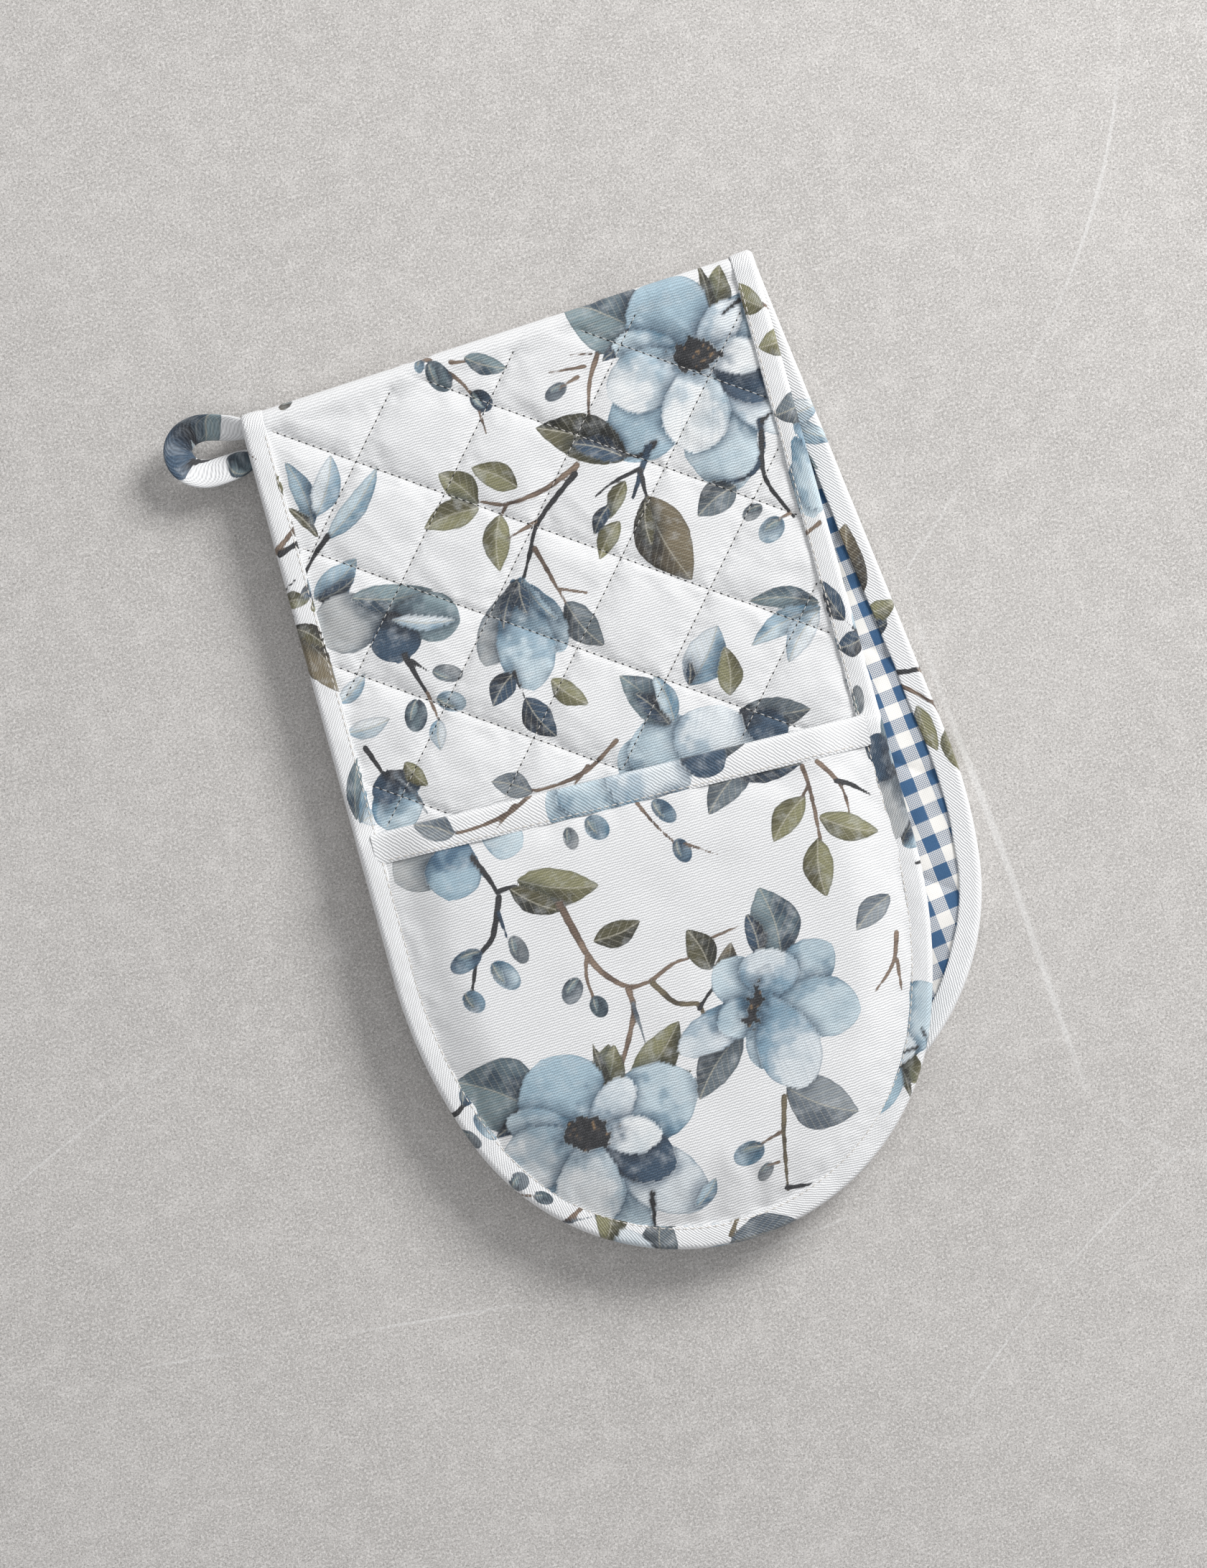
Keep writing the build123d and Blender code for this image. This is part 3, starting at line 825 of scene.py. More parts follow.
class Value:
    """A number in a node tree that Python expressions work on, adding Math nodes."""

    def __init__(self, graph: "Graph", socket: bpy.types.NodeSocket) -> None:
        """Wraps one output socket."""
        self.graph, self.socket = graph, socket

    def _math(self, operation: str, *others: "Value | float", flip: bool = False) -> "Value":
        """Adds one Math node on this value and others."""
        values = [self, *others]
        return self.graph.node("ShaderNodeMath", {"operation": operation}, *(values[::-1] if flip else values))

    def __add__(self, other: "Value | float") -> "Value":
        """Sum."""
        return self._math("ADD", other)

    __radd__ = __add__

    def __mul__(self, other: "Value | float") -> "Value":
        """Product."""
        return self._math("MULTIPLY", other)

    __rmul__ = __mul__

    def __sub__(self, other: "Value | float") -> "Value":
        """Difference."""
        return self._math("SUBTRACT", other)

    def __rsub__(self, other: "Value | float") -> "Value":
        """Difference from a number."""
        return self._math("SUBTRACT", other, flip=True)

    def __truediv__(self, other: "Value | float") -> "Value":
        """Quotient."""
        return self._math("DIVIDE", other)

    def __abs__(self) -> "Value":
        """Size without its sign."""
        return self._math("ABSOLUTE")

    def __pow__(self, other: float) -> "Value":
        """Power."""
        return self._math("POWER", other)

    def wave(self) -> "Value":
        """Sine of the value in radians."""
        return self._math("SINE")

    def part(self) -> "Value":
        """What is left above the whole number below."""
        return self._math("FRACT")

    def at_most(self, other: "Value | float") -> "Value":
        """The smaller of two values."""
        return self._math("MINIMUM", other)

    def at_least(self, other: "Value | float") -> "Value":
        """The larger of two values."""
        return self._math("MAXIMUM", other)

    def eased(self, low: float, high: float) -> "Value":
        """Smooth step from nought at low to one at high."""
        return self.graph.node("ShaderNodeMapRange", {"interpolation_type": "SMOOTHSTEP"},
                               self, low, high, 0.0, 1.0)


class Graph:
    """Node tree of one material, with one method that makes its nodes."""

    def __init__(self, name: str) -> None:
        """Starts an empty material.

        Args:
            name: The material's name.
        """
        self.material = bpy.data.materials.new(name)
        self.material.use_nodes = True
        self.tree = self.material.node_tree
        self.tree.nodes.clear()

    def node(self, kind: str, settings: Optional[dict] = None, *inputs: "Value | float | tuple | None",
             output: "int | str" = 0, **named: "Value | float | tuple") -> Value:
        """Makes a node.

        Args:
            kind: The node's type.
            settings: What is set on the node itself, before its sockets.
            inputs: A number, colour or link for each socket in turn; None leaves one alone.
            output: Which output to return.
            named: More sockets, by name with underscores for spaces.

        Returns:
            The chosen output, or the first input of a node that has no outputs.
        """
        made = self.tree.nodes.new(kind)
        for key, value in (settings or {}).items():
            setattr(made, key, value)
        pairs = list(enumerate(inputs)) + [(k.replace("_", " "), v) for k, v in named.items()]
        for key, value in pairs:
            if value is None:
                continue
            if isinstance(value, Value):
                self.tree.links.new(value.socket, made.inputs[key])
            else:
                slot = made.inputs[key]
                slot.default_value = (*value, 1) if slot.type == "RGBA" and len(value) == 3 else value
        return Value(self, made.outputs[output] if made.outputs else made.inputs[0])

    def mix(self, share: "Value | float", a: "Value | tuple", b: "Value | tuple", blend: str = "MIX") -> Value:
        """Mixes two colours.

        Args:
            share: How much of the second colour.
            a: First colour.
            b: Second colour.
            blend: How the second colour is laid on.

        Returns:
            The mixed colour.
        """
        settings = {"data_type": "RGBA", "blend_type": blend, "clamp_factor": True}
        unused_sockets = [None] * 5
        return self.node("ShaderNodeMix", settings, share, *unused_sockets, a, b, output=2)

    def parts(self, vector: Value) -> tuple[Value, Value, Value]:
        """The three numbers of a vector."""
        split = self.node("ShaderNodeSeparateXYZ", None, vector).socket.node
        return tuple(Value(self, output) for output in split.outputs)

    def cloth_xy(self) -> tuple[Value, Value, Value]:
        """Cloth coordinates in millimetres as a vector, and its two parts.

        Returns:
            The vector and its two parts.
        """
        uv = self.node("ShaderNodeUVMap", {"uv_map": "Cloth"})
        scaled = self.node("ShaderNodeVectorMath", {"operation": "SCALE"}, uv, Scale=1000.0)
        return scaled, *self.parts(scaled)[:2]

    def stored(self, name: str) -> tuple[Value, Value, Value]:
        """Three numbers stored on the cloth under one name."""
        return self.parts(self.node("ShaderNodeAttribute", {"attribute_name": name}, output=1))

    def noise(self, place: Value, scale: float, detail: float = 2.0, roughness: float = 0.5) -> Value:
        """Soft unevenness about one half."""
        return self.node("ShaderNodeTexNoise", {"noise_dimensions": "3D"}, Vector=place, Scale=scale,
                         Detail=detail, Roughness=roughness)

    def shade(self, colour: "Value | tuple", roughness: "Value | float", bump: Optional[Value] = None,
              depth: float = 0.0, sheen: float = 0.0, strength: float = 1.0) -> bpy.types.Material:
        """Ends the tree in one shader.

        Args:
            colour: Base colour.
            roughness: Roughness.
            bump: Height, nought to one, or nothing.
            depth: Height of the bump in metres.
            sheen: Weight of the fibres' sheen.
            strength: How strongly the bump tells.

        Returns:
            The finished material.
        """
        named: dict = {"Base_Color": colour, "Roughness": roughness, "Sheen_Weight": sheen,
                       "Sheen_Roughness": 0.6, "Specular_IOR_Level": 0.25}
        if bump is not None:
            named["Normal"] = self.node("ShaderNodeBump", None, Height=bump, Distance=depth, Strength=strength)
        shader = self.node("ShaderNodeBsdfPrincipled", None, **named)
        self.node("ShaderNodeOutputMaterial", None, shader)
        return self.material


@dataclass(frozen=True)
class PrintedCotton:
    """Canvas-weight cotton, off-white and fine-ribbed, with the watercolour print."""

    name: str = "printed_cotton"
    ground: tuple[float, float, float] = (244, 245, 246)
    rib: float = 1.05
    thread: float = 0.62
    ribs_turned: bool = False

    def weave(self, g: Graph, x: Value, y: Value, place: Value) -> Value:
        """Height of the canvas weave, nought to one, which also masks the painted shade in its hollows.

        Args:
            g: The material's tree.
            x: Cloth coordinate along the weft in millimetres.
            y: Cloth coordinate along the warp.
            place: The two as a vector.

        Returns:
            The height.
        """
        turn = 2 * math.pi
        if self.ribs_turned:
            x, y = (x + y) * BIAS, (x - y) * BIAS
        wobble = g.noise(place, 0.35, 2.0) * 1.1
        rib = ((y + wobble) * (turn / self.rib)).wave() * 0.5 + 0.5
        cross = ((x + wobble * 0.6) * (turn / self.thread)).wave() * 0.5 + 0.5
        return rib * 0.62 + cross * 0.22 + g.noise(place, 0.9, 3.0) * 0.16

    def material(self) -> bpy.types.Material:
        """Builds the cloth.

        Returns:
            The finished material.
        """
        g = Graph(self.name)
        place, x, y = g.cloth_xy()
        edge, rim, under = g.stored("outline")
        along, across, kind = g.stored("brush")
        ink = g.node("ShaderNodeAttribute", {"attribute_name": "ink"}, output=0)
        wander = g.noise(place, 0.7, 3.0)
        blooms = g.noise(place, 0.16, 4.0, 0.6)
        cover = (edge + (wander - 0.5) * 0.30).eased(-0.20, 0.18)
        pool = 1.0 - (rim - 0.15).eased(0.0, 0.9)
        shadow = (1.0 - (under + (blooms - 0.5) * 5.0).eased(-1.0, 7.0)) ** 1.5
        brushy = 1.0 - (kind - 3.5).eased(-0.3, 0.3)
        wet = g.mix((blooms - 0.50).at_least(0.0) * 1.6 * brushy, ink, linear(226, 230, 233))
        leaf_like = 1.0 - abs(kind - 1.0).eased(0.3, 0.6)
        petal_like = 1.0 - abs(kind - 2.0).eased(0.3, 0.6)
        side_vein = 1.0 - abs(((along - abs(across) * 1.1) / 3.6).part() - 0.5).eased(0.03, 0.14)
        midrib = 1.0 - abs(across).eased(0.12, 0.5)
        veined = g.mix((side_vein * 0.22 + midrib * 0.5).at_most(0.6) * leaf_like, wet,
                       linear(196, 192, 176))
        brushed = g.node("ShaderNodeCombineXYZ", None, along * 0.05, across * 0.85, kind)
        streak = g.noise(brushed, 1.0, 3.0, 0.6)
        dark = g.mix((streak - 0.5).at_least(0.0) * 0.8 * petal_like, veined, linear(96, 126, 148))
        broad = g.noise(place, 0.055, 3.0, 0.55)
        deep = g.mix((broad - 0.50).at_least(0.0) * 1.7 * petal_like, dark, linear(104, 150, 172), "MULTIPLY")
        sunk = g.mix(shadow * 0.68 * brushy, deep, linear(48, 88, 116), "MULTIPLY")
        pooled = g.mix(pool * 0.34, sunk, linear(92, 110, 130), "MULTIPLY")
        weave = self.weave(g, x, y, place)
        slub = g.noise(place, 0.05, 3.0)
        plain = g.mix(slub * 0.35, linear(*self.ground), linear(*(c - 8 for c in self.ground)))
        grainy = g.mix((g.noise(place, 2.4, 2.0) - 0.5).at_least(0.0) * 0.5, pooled, linear(228, 230, 232))
        printed = g.mix(cover * 0.97, plain, grainy)
        # Painted shade: the colour darkens where the weave is low, in the hollows between its ribs and threads.
        shaded = g.mix((1.0 - weave) ** 1.3 * 0.46, printed, linear(116, 116, 118), "MULTIPLY")
        return g.shade(shaded, 0.86 - weave * 0.05, weave, 0.0003, 0.1, 0.8)


@dataclass(frozen=True)
class Gingham:
    """Light cotton lining woven in blue and white checks of six millimetres."""

    name: str = "gingham_lining"
    check: float = 6.0
    thread: float = 0.75
    blue: tuple[float, float, float] = (44, 80, 118)
    white: tuple[float, float, float] = (232, 230, 226)

    def material(self) -> bpy.types.Material:
        """Builds the cloth.

        Returns:
            The finished material.
        """
        g = Graph(self.name)
        place, x, y = g.cloth_xy()
        drift = (g.noise(place, 0.03, 2.0) - 0.5) * 1.6
        column = abs(((x + drift) / (2 * self.check)).part() - 0.5).eased(0.235, 0.265)
        row = abs(((y + drift) / (2 * self.check)).part() - 0.5).eased(0.235, 0.265)
        turn = 2 * math.pi / self.thread
        over = ((x + y) * (turn * 0.5)).wave() * ((x - y) * (turn * 0.5)).wave() * 0.5 + 0.5
        share = column * over + row * (1.0 - over)
        thread_wear = g.noise(place, 1.4, 3.0)
        dyed = g.mix(thread_wear * 0.5, linear(*self.blue), linear(86, 122, 158))
        colour = g.mix(share, linear(*self.white), dyed)
        weave = over * 0.6 + g.noise(place, 1.2, 2.0) * 0.4
        # Painted shade: the colour darkens where the weave is low, in the hollows between its threads.
        shaded = g.mix((1.0 - weave) * 0.25, colour, linear(120, 118, 116), "MULTIPLY")
        return g.shade(shaded, 0.88 - weave * 0.04, weave, 0.00018, 0.08, 0.5)


@dataclass(frozen=True)
class Thread:
    """Sewing thread, with its twist; the same finish, made dark, paints the shade in the needle holes."""

    name: str
    colour: tuple[float, float, float]
    twist: float = 900.0

    def material(self) -> bpy.types.Material:
        """Builds the thread.

        Returns:
            The finished material.
        """
        g = Graph(self.name)
        place = g.node("ShaderNodeTexCoord", None, output=3)
        ply = g.node("ShaderNodeTexWave", {"wave_type": "BANDS", "bands_direction": "DIAGONAL"},
                     Vector=place, Scale=self.twist, Distortion=0.6, output=1)
        tint = g.noise(place, 120.0, 2.0)
        # The darker tone shows partly as a random tint of the thread and partly as painted shade in the grooves of
        # its twist.
        low = tuple(c * 0.82 for c in self.colour)
        colour = g.mix(tint * 0.6 + (1.0 - ply) * 0.3, linear(*self.colour), linear(*low))
        return g.shade(colour, 0.6 + ply * 0.1, ply, 0.00008, 0.1, 0.5)


@dataclass(frozen=True)
class PaleStone:
    """Floor of pale honed stone with faint clouds, grains and hair veins."""

    name: str = "pale_stone"
    tone: tuple[float, float, float] = (184, 181, 178)

    def material(self) -> bpy.types.Material:
        """Builds the floor's finish.

        Returns:
            The finished material.
        """
        g = Graph(self.name)
        place = g.node("ShaderNodeTexCoord", None, output=3)
        clouds = g.noise(place, 9.0, 5.0, 0.6)
        grains = g.noise(place, 900.0, 3.0, 0.9)
        pits = g.noise(place, 1300.0, 2.0, 0.8)
        crumbs = g.noise(place, 300.0, 4.0, 0.8)
        bent = g.node("ShaderNodeVectorMath", {"operation": "ADD"}, place,
                      g.node("ShaderNodeTexNoise", None, Vector=place, Scale=0.9, Detail=1.0, output=1))
        seam = g.node("ShaderNodeTexVoronoi", {"feature": "DISTANCE_TO_EDGE"}, Vector=bent, Scale=1.5)
        vein = (1.0 - seam.eased(0.0, 0.0014)) * (clouds - 0.44).at_least(0.0) * crumbs * 6.0
        base = g.mix(clouds.eased(0.3, 0.7), linear(*(c - 5 for c in self.tone)), linear(*(c + 4 for c in self.tone)))
        patches = g.noise(place, 90.0, 5.0, 0.75)
        cloudy = g.mix((patches - 0.47).at_least(0.0) * 3.4, base, linear(*(c + 24 for c in self.tone)))
        speckled = g.mix((grains - 0.47).at_least(0.0) * 7.0, cloudy, linear(*(c + 38 for c in self.tone)))
        chipped = g.mix(crumbs.eased(0.64, 0.70) * 0.6, speckled, linear(*(c + 46 for c in self.tone)))
        dotted = g.mix((0.49 - pits).at_least(0.0) * 5.5, chipped, linear(*(c - 42 for c in self.tone)))
        colour = g.mix(vein.at_most(0.3), dotted, linear(236, 236, 235))
        return g.shade(colour, 0.62 + grains * 0.2, grains * 0.6 + pits * 0.4, 0.0004, 0.0, 0.35)


@dataclass(frozen=True)
class Wardrobe:
    """Every finish of the glove, built once."""

    print_cloth: bpy.types.Material
    tape_cloth: bpy.types.Material
    gingham: bpy.types.Material
    white_thread: bpy.types.Material
    quilt_thread: bpy.types.Material
    # Dark finish that paints the shade in the needle holes.
    needle_hole: bpy.types.Material
    stone: bpy.types.Material

    @staticmethod
    def build() -> "Wardrobe":
        """Builds all finishes.

        Returns:
            The set of finishes.
        """
        return Wardrobe(PrintedCotton().material(),
                        PrintedCotton("binding_cotton", (245, 246, 247), 1.15, 0.8, True).material(),
                        Gingham().material(), Thread("white_thread", (226, 221, 214)).material(),
                        Thread("quilting_thread", (214, 212, 208)).material(),
                        # The last, dark finish paints the shade in the needle holes.
                        Thread("needle_hole", (44, 44, 46)).material(), PaleStone().material())


# --- cloth work ---------------------------------------------------------------------------


def coords(mesh: bpy.types.Mesh) -> Array:
    """Places of all vertices, one row each.

    Args:
        mesh: Mesh to read.

    Returns:
        Rows of x, y and z.
    """
    flat = np.empty(len(mesh.vertices) * 3, np.float32)
    mesh.vertices.foreach_get("co", flat)
    return flat.reshape(-1, 3).astype(float)


def put(mesh: bpy.types.Mesh, places: Array) -> None:
    """Moves all vertices."""
    mesh.vertices.foreach_set("co", places.ravel().astype(np.float32))
    mesh.update()


def store_cloth_uv(mesh: bpy.types.Mesh, u: Array, v: Array) -> None:
    """Writes the Cloth coordinates in metres from a value for each vertex.

    Args:
        mesh: Mesh to write on.
        u: Each vertex's cloth coordinate along the weft in millimetres.
        v: The one along the warp.
    """
    layer = mesh.uv_layers.get("Cloth") or mesh.uv_layers.new(name="Cloth")
    corner = np.empty(len(mesh.loops), np.int32)
    mesh.loops.foreach_get("vertex_index", corner)
    layer.data.foreach_set("uv", (np.stack([u[corner], v[corner]], axis=1) * MM).ravel().astype(np.float32))


def travelled(line: Array) -> Array:
    """Distance gone along a line at each of its places."""
    return np.concatenate([[0], np.cumsum(np.linalg.norm(np.diff(line, axis=0), axis=1))])


def strip(name: str, length: int, girth: int) -> tuple[bpy.types.Mesh, Array, Array]:
    """Flat strip that is shaped into a flattened tube of tape.

    Args:
        name: The mesh's name.
        length: Faces along it.
        girth: Faces round it.

    Returns:
        The mesh, and each vertex's number along it and round it.
    """
    bm = bmesh.new()
    bmesh.ops.create_grid(bm, x_segments=length, y_segments=girth, size=1.0)
    mesh = bpy.data.meshes.new(name)
    bm.to_mesh(mesh)
    bm.free()
    at = coords(mesh)
    i = np.rint((at[:, 0] + 1) / 2 * length).astype(int)
    return mesh, i, np.rint((at[:, 1] + 1) / 2 * girth).astype(int)


def weld(mesh: bpy.types.Mesh, reach: float, capped: bool = False) -> None:
    """Joins a shaped strip's long edges and turns its faces outwards.

    Args:
        mesh: The shaped strip.
        reach: Vertices closer than this many metres become one.
        capped: Whether the tube's ends are closed.
    """
    bm = bmesh.new()
    bm.from_mesh(mesh)
    bmesh.ops.remove_doubles(bm, verts=bm.verts, dist=reach)
    if capped:
        bmesh.ops.holes_fill(bm, edges=[e for e in bm.edges if e.is_boundary], sides=0)
    bmesh.ops.recalc_face_normals(bm, faces=bm.faces)
    bm.to_mesh(mesh)
    bm.free()


def show(name: str, mesh: bpy.types.Mesh, materials: Sequence[bpy.types.Material]) -> bpy.types.Object:
    """Puts a finished mesh in the scene, smooth-shaded.

    Args:
        name: The piece's name.
        mesh: Its finished mesh.
        materials: Its finishes, by material index.

    Returns:
        The piece's object.
    """
    made = bpy.data.objects.new(name, mesh)
    bpy.context.scene.collection.objects.link(made)
    for material in materials:
        mesh.materials.append(material)
    mesh.shade_smooth()
    return made


def divided(mesh: bpy.types.Mesh, name: str, keep: Callable[[Array], Array]) -> bpy.types.Mesh:
    """Copy of a mesh with only the faces whose middle passes a test.

    Args:
        mesh: Mesh to copy.
        name: The copy's name.
        keep: Test on rows of face middles in metres.

    Returns:
        The copy.
    """
    part = mesh.copy()
    part.name = name
    bm = bmesh.new()
    bm.from_mesh(part)
    middles = np.array([f.calc_center_median() for f in bm.faces])
    wanted = keep(middles)
    bm.faces.ensure_lookup_table()
    bmesh.ops.delete(bm, geom=[f for f, k in zip(bm.faces, wanted) if not k], context="FACES")
    bm.to_mesh(part)
    bm.free()
    return part


@dataclass
class QuiltedPanel:
    """Band or pocket panel of one mitt: printed cloth, wadding and gingham sewn together.

    It is cut and pinned flat, blown up by the cloth solver, pulled down at its seams and folded.
    The print fields say where on the printed cloth it was cut out.
    """

    mitt: Mitt
    cut: Cut
    quilting: Quilting
    finishes: Wardrobe
    floral: FloralPrint
    cell: float = 3.3
    rim_half: float = 1.15
    seam_half: float = 0.55
    puff: float = 1.1
    inset: float = 1.6
    seam_reach: float = 0.7
    mouth_reach: float = 11.0
    frames: int = 16
    print_x: float = 3.5
    lower_print_y: float = 1.9
    lower_pocket_print_y: float = 534.0

    @property
    def name(self) -> str:
        """Name of the panel."""
        return f"{self.mitt.name}_{self.cut.value}_panel"

    @property
    def middle(self) -> float:
        """Height of the panel's middle layer over the band's."""
        return 3.1 if self.cut is Cut.POCKET else 0.0

    @property
    def half(self) -> float:
        """Half the panel's thickness in CAD."""
        return 1.3 if self.cut is Cut.POCKET else 1.8

    def lift(self, x: Array, y: Array) -> Array:
        """Rise of a crowned panel over its hand room, towards the upper side of the glove.

        Args:
            x: Flat x of each place.
            y: Flat y of each place.

        Returns:
            The rise of each place in millimetres.
        """
        mitt = self.mitt
        crowned = (mitt.face is Face.UP) == (self.cut is Cut.POCKET)
        if not crowned:
            return np.zeros_like(x)
        _, q = mitt.across(x, y)
        rise = mitt.crown_rise * eased(mitt.inside(x, y), 8.0, 30.0)
        if self.cut is Cut.BAND:
            return -rise * eased(q, mitt.mouth_q - 28, mitt.mouth_q + 22)
        return rise * (0.72 + 0.28 * eased(mitt.past_mouth(x, y), 0, 40))

    def _cut_sheet(self) -> bmesh.types.BMesh:
        """Cuts the flat shape from a grid, with vertices along every quilting line.

        Returns:
            The flat sheet.
        """
        mitt = self.mitt
        bm = bmesh.new()
        top = -12.0
        if self.cut is Cut.POCKET:
            top = mitt.mouth_q - 8
        wide, tall = mitt.half, (mitt.reach - top) / 2
        bmesh.ops.create_grid(bm, x_segments=round(2 * wide / self.cell),
                              y_segments=round(2 * tall / self.cell), size=1.0)
        bmesh.ops.scale(bm, vec=(wide, tall, 1), verts=bm.verts)
        bmesh.ops.translate(bm, vec=(0, -(top + tall), 0), verts=bm.verts)
        turn = Matrix.Rotation(mitt.lean, 4, "Z")
        shift = Matrix.Translation((mitt.fold.middle_x, mitt.fold.outer_y, 0))
        bmesh.ops.transform(bm, matrix=shift @ turn, verts=bm.verts)

        def slice_at(point: Sequence[float], facing: Sequence[float], clear: bool) -> None:
            """Slices the sheet, and may drop what lies past the slice.

            Args:
                point: A point on the slice.
                facing: Direction the slice faces.
                clear: Whether to drop what lies on the side it faces.
            """
            bmesh.ops.bisect_plane(bm, geom=bm.verts[:] + bm.edges[:] + bm.faces[:], dist=0.02,
                                   plane_co=(point[0], point[1], 0), plane_no=(facing[0], facing[1], 0),
                                   clear_outer=clear, clear_inner=False)

        stations, inward, _ = mitt.walk(9.0)
        for place, way in zip(stations, inward):
            slice_at(place + way * self.inset, -way, True)
        if self.cut is Cut.BAND:
            slice_at((0, mitt.fold.crest_y), (0, 1), True)
            slice_at((0, mitt.fold.seam_y), (0, 1), False)
            for foot, way in self.quilting.lines():
                slice_at(foot, (-way.y, way.x), False)
        else:
            slant = mitt.lean - math.radians(mitt.mouth_slant)
            x, y = mitt.flat(np.float64(0), np.float64(mitt.mouth_q + 0.8))
            slice_at((x, y), (-math.sin(slant), math.cos(slant)), True)
        bmesh.ops.remove_doubles(bm, verts=bm.verts, dist=0.9)
        return bm

    def _held(self, x: Array, y: Array) -> Array:
        """True where stitching holds the layers together.

        Args:
            x: Flat x of each place.
            y: Flat y of each place.

        Returns:
            One answer for each place.
        """
        held = self.mitt.inside(x, y) < self.mitt.binding - 1.0
        if self.cut is Cut.BAND:
            held |= self.quilting.distance(x, y) < self.seam_reach
            held |= y > self.mitt.fold.seam_y - 0.5
        else:
            held |= self.mitt.past_mouth(x, y) < self.mouth_reach
        return held

    def _slab(self) -> bpy.types.Mesh:
        """Closed slab of the flat panel, pinched at its seams.

        Returns:
            The slab.
        """
        bm = self._cut_sheet()
        top = bm.faces[:]
        bmesh.ops.recalc_face_normals(bm, faces=bm.faces)
        if top[0].normal.z < 0:
            bmesh.ops.reverse_faces(bm, faces=bm.faces)
        deep = bmesh.ops.extrude_face_region(bm, geom=bm.faces[:])
        low = [e for e in deep["geom"] if isinstance(e, bmesh.types.BMVert)]
        low_set = set(low)
        for v in bm.verts:
            v.co.z = -1.0 if v in low_set else 1.0
        bmesh.ops.recalc_face_normals(bm, faces=bm.faces)
        mesh = bpy.data.meshes.new(self.name)
        bm.to_mesh(mesh)
        bm.free()
        at = coords(mesh)
        x, y, side = at[:, 0], at[:, 1], np.sign(at[:, 2])
        half = np.where(self._held(x, y), self.seam_half, self.rim_half)
        rim = self.mitt.inside(x, y) < self.mitt.binding - 1.0
        fold_end = y > self.mitt.fold.seam_y - 0.5
        half = np.where(rim | (fold_end & (self.cut is Cut.BAND)), self.half, half)
        up = self.middle + side * half + self.lift(x, y)
        put(mesh, np.stack([x, y, up], axis=1))
        return mesh

    def _puffed(self, mesh: bpy.types.Mesh) -> bpy.types.Mesh:
        """Blows the slab up between its seams with the cloth solver.

        Args:
            mesh: The flat slab.

        Returns:
            The same mesh, puffed.
        """
        before = coords(mesh)
        work = bpy.data.objects.new("puffing", mesh.copy())
        bpy.context.scene.collection.objects.link(work)
        put(work.data, before * MM)
        pins = work.vertex_groups.new(name="sewn")
        for index in np.nonzero(self._held(before[:, 0], before[:, 1]))[0]:
            pins.add([int(index)], 1.0, "REPLACE")
        cloth = work.modifiers.new("blow", "CLOTH")
        cloth.settings.quality = 5
        cloth.settings.mass = 0.05
        cloth.settings.tension_stiffness = cloth.settings.compression_stiffness = 12
        cloth.settings.bending_stiffness = 0.05
        cloth.settings.vertex_group_mass = "sewn"
        cloth.settings.shrink_min = -0.012
        cloth.settings.use_pressure = True
        cloth.settings.uniform_pressure_force = 4.0
        cloth.settings.effector_weights.gravity = 0.0
        cloth.collision_settings.use_collision = False
        scene = bpy.context.scene
        cloth.point_cache.frame_start, cloth.point_cache.frame_end = 1, 20
        for step in range(1, self.frames + 1):
            scene.frame_set(step)
        done = bpy.data.meshes.new_from_object(work.evaluated_get(bpy.context.evaluated_depsgraph_get()))
        after = coords(done) / MM
        scene.frame_set(1)
        bpy.data.objects.remove(work)
        move = np.nan_to_num(after - before)
        limit = np.array([0.5, 0.5, self.puff])
        move = limit * np.tanh(move / limit)
        log.info("%s puffed by %.2f mm on average, %.2f mm at most", self.name,
                 float(np.abs(move[:, 2]).mean()), float(np.abs(move[:, 2]).max()))
        put(mesh, before + move)
        return mesh

    def _refined(self, mesh: bpy.types.Mesh) -> bpy.types.Mesh:
        """Finer mesh: once all over, and once more where the print shows.

        Args:
            mesh: The puffed slab.

        Returns:
            A finer mesh, with its printed faces first in the finishes.
        """
        work = bpy.data.objects.new("refining", mesh)
        bpy.context.scene.collection.objects.link(work)
        smooth = work.modifiers.new("smooth", "SUBSURF")
        smooth.levels = smooth.render_levels = 1
        fine = bpy.data.meshes.new_from_object(work.evaluated_get(bpy.context.evaluated_depsgraph_get()))
        bpy.data.objects.remove(work)
        bm = bmesh.new()
        bm.from_mesh(fine)
        bm.normal_update()
        mitt = self.mitt
        for f in bm.faces:
            f.material_index = 0 if f.normal.z > 0.25 else 1

        def shows(f: bmesh.types.BMFace) -> bool:
            """True where the printed side can be seen."""
            c = f.calc_center_median()
            return self.cut is Cut.POCKET or mitt.past_mouth(np.float64(c.x), np.float64(c.y)) < 6

        printed = [f for f in bm.faces if f.material_index == 0 and shows(f)]
        edges = list(dict.fromkeys(e for f in printed for e in f.edges))
        bmesh.ops.subdivide_edges(bm, edges=edges, cuts=1, use_grid_fill=True)
        verts = list(dict.fromkeys(v for f in bm.faces if f.material_index == 0
                                   for v in f.verts if not v.is_boundary))
        bmesh.ops.smooth_vert(bm, verts=verts, factor=0.5, use_axis_z=True)
        bmesh.ops.triangulate(bm, faces=[f for f in bm.faces if len(f.verts) > 4])
        made = bpy.data.meshes.new(self.name)
        bm.to_mesh(made)
        bm.free()
        return made

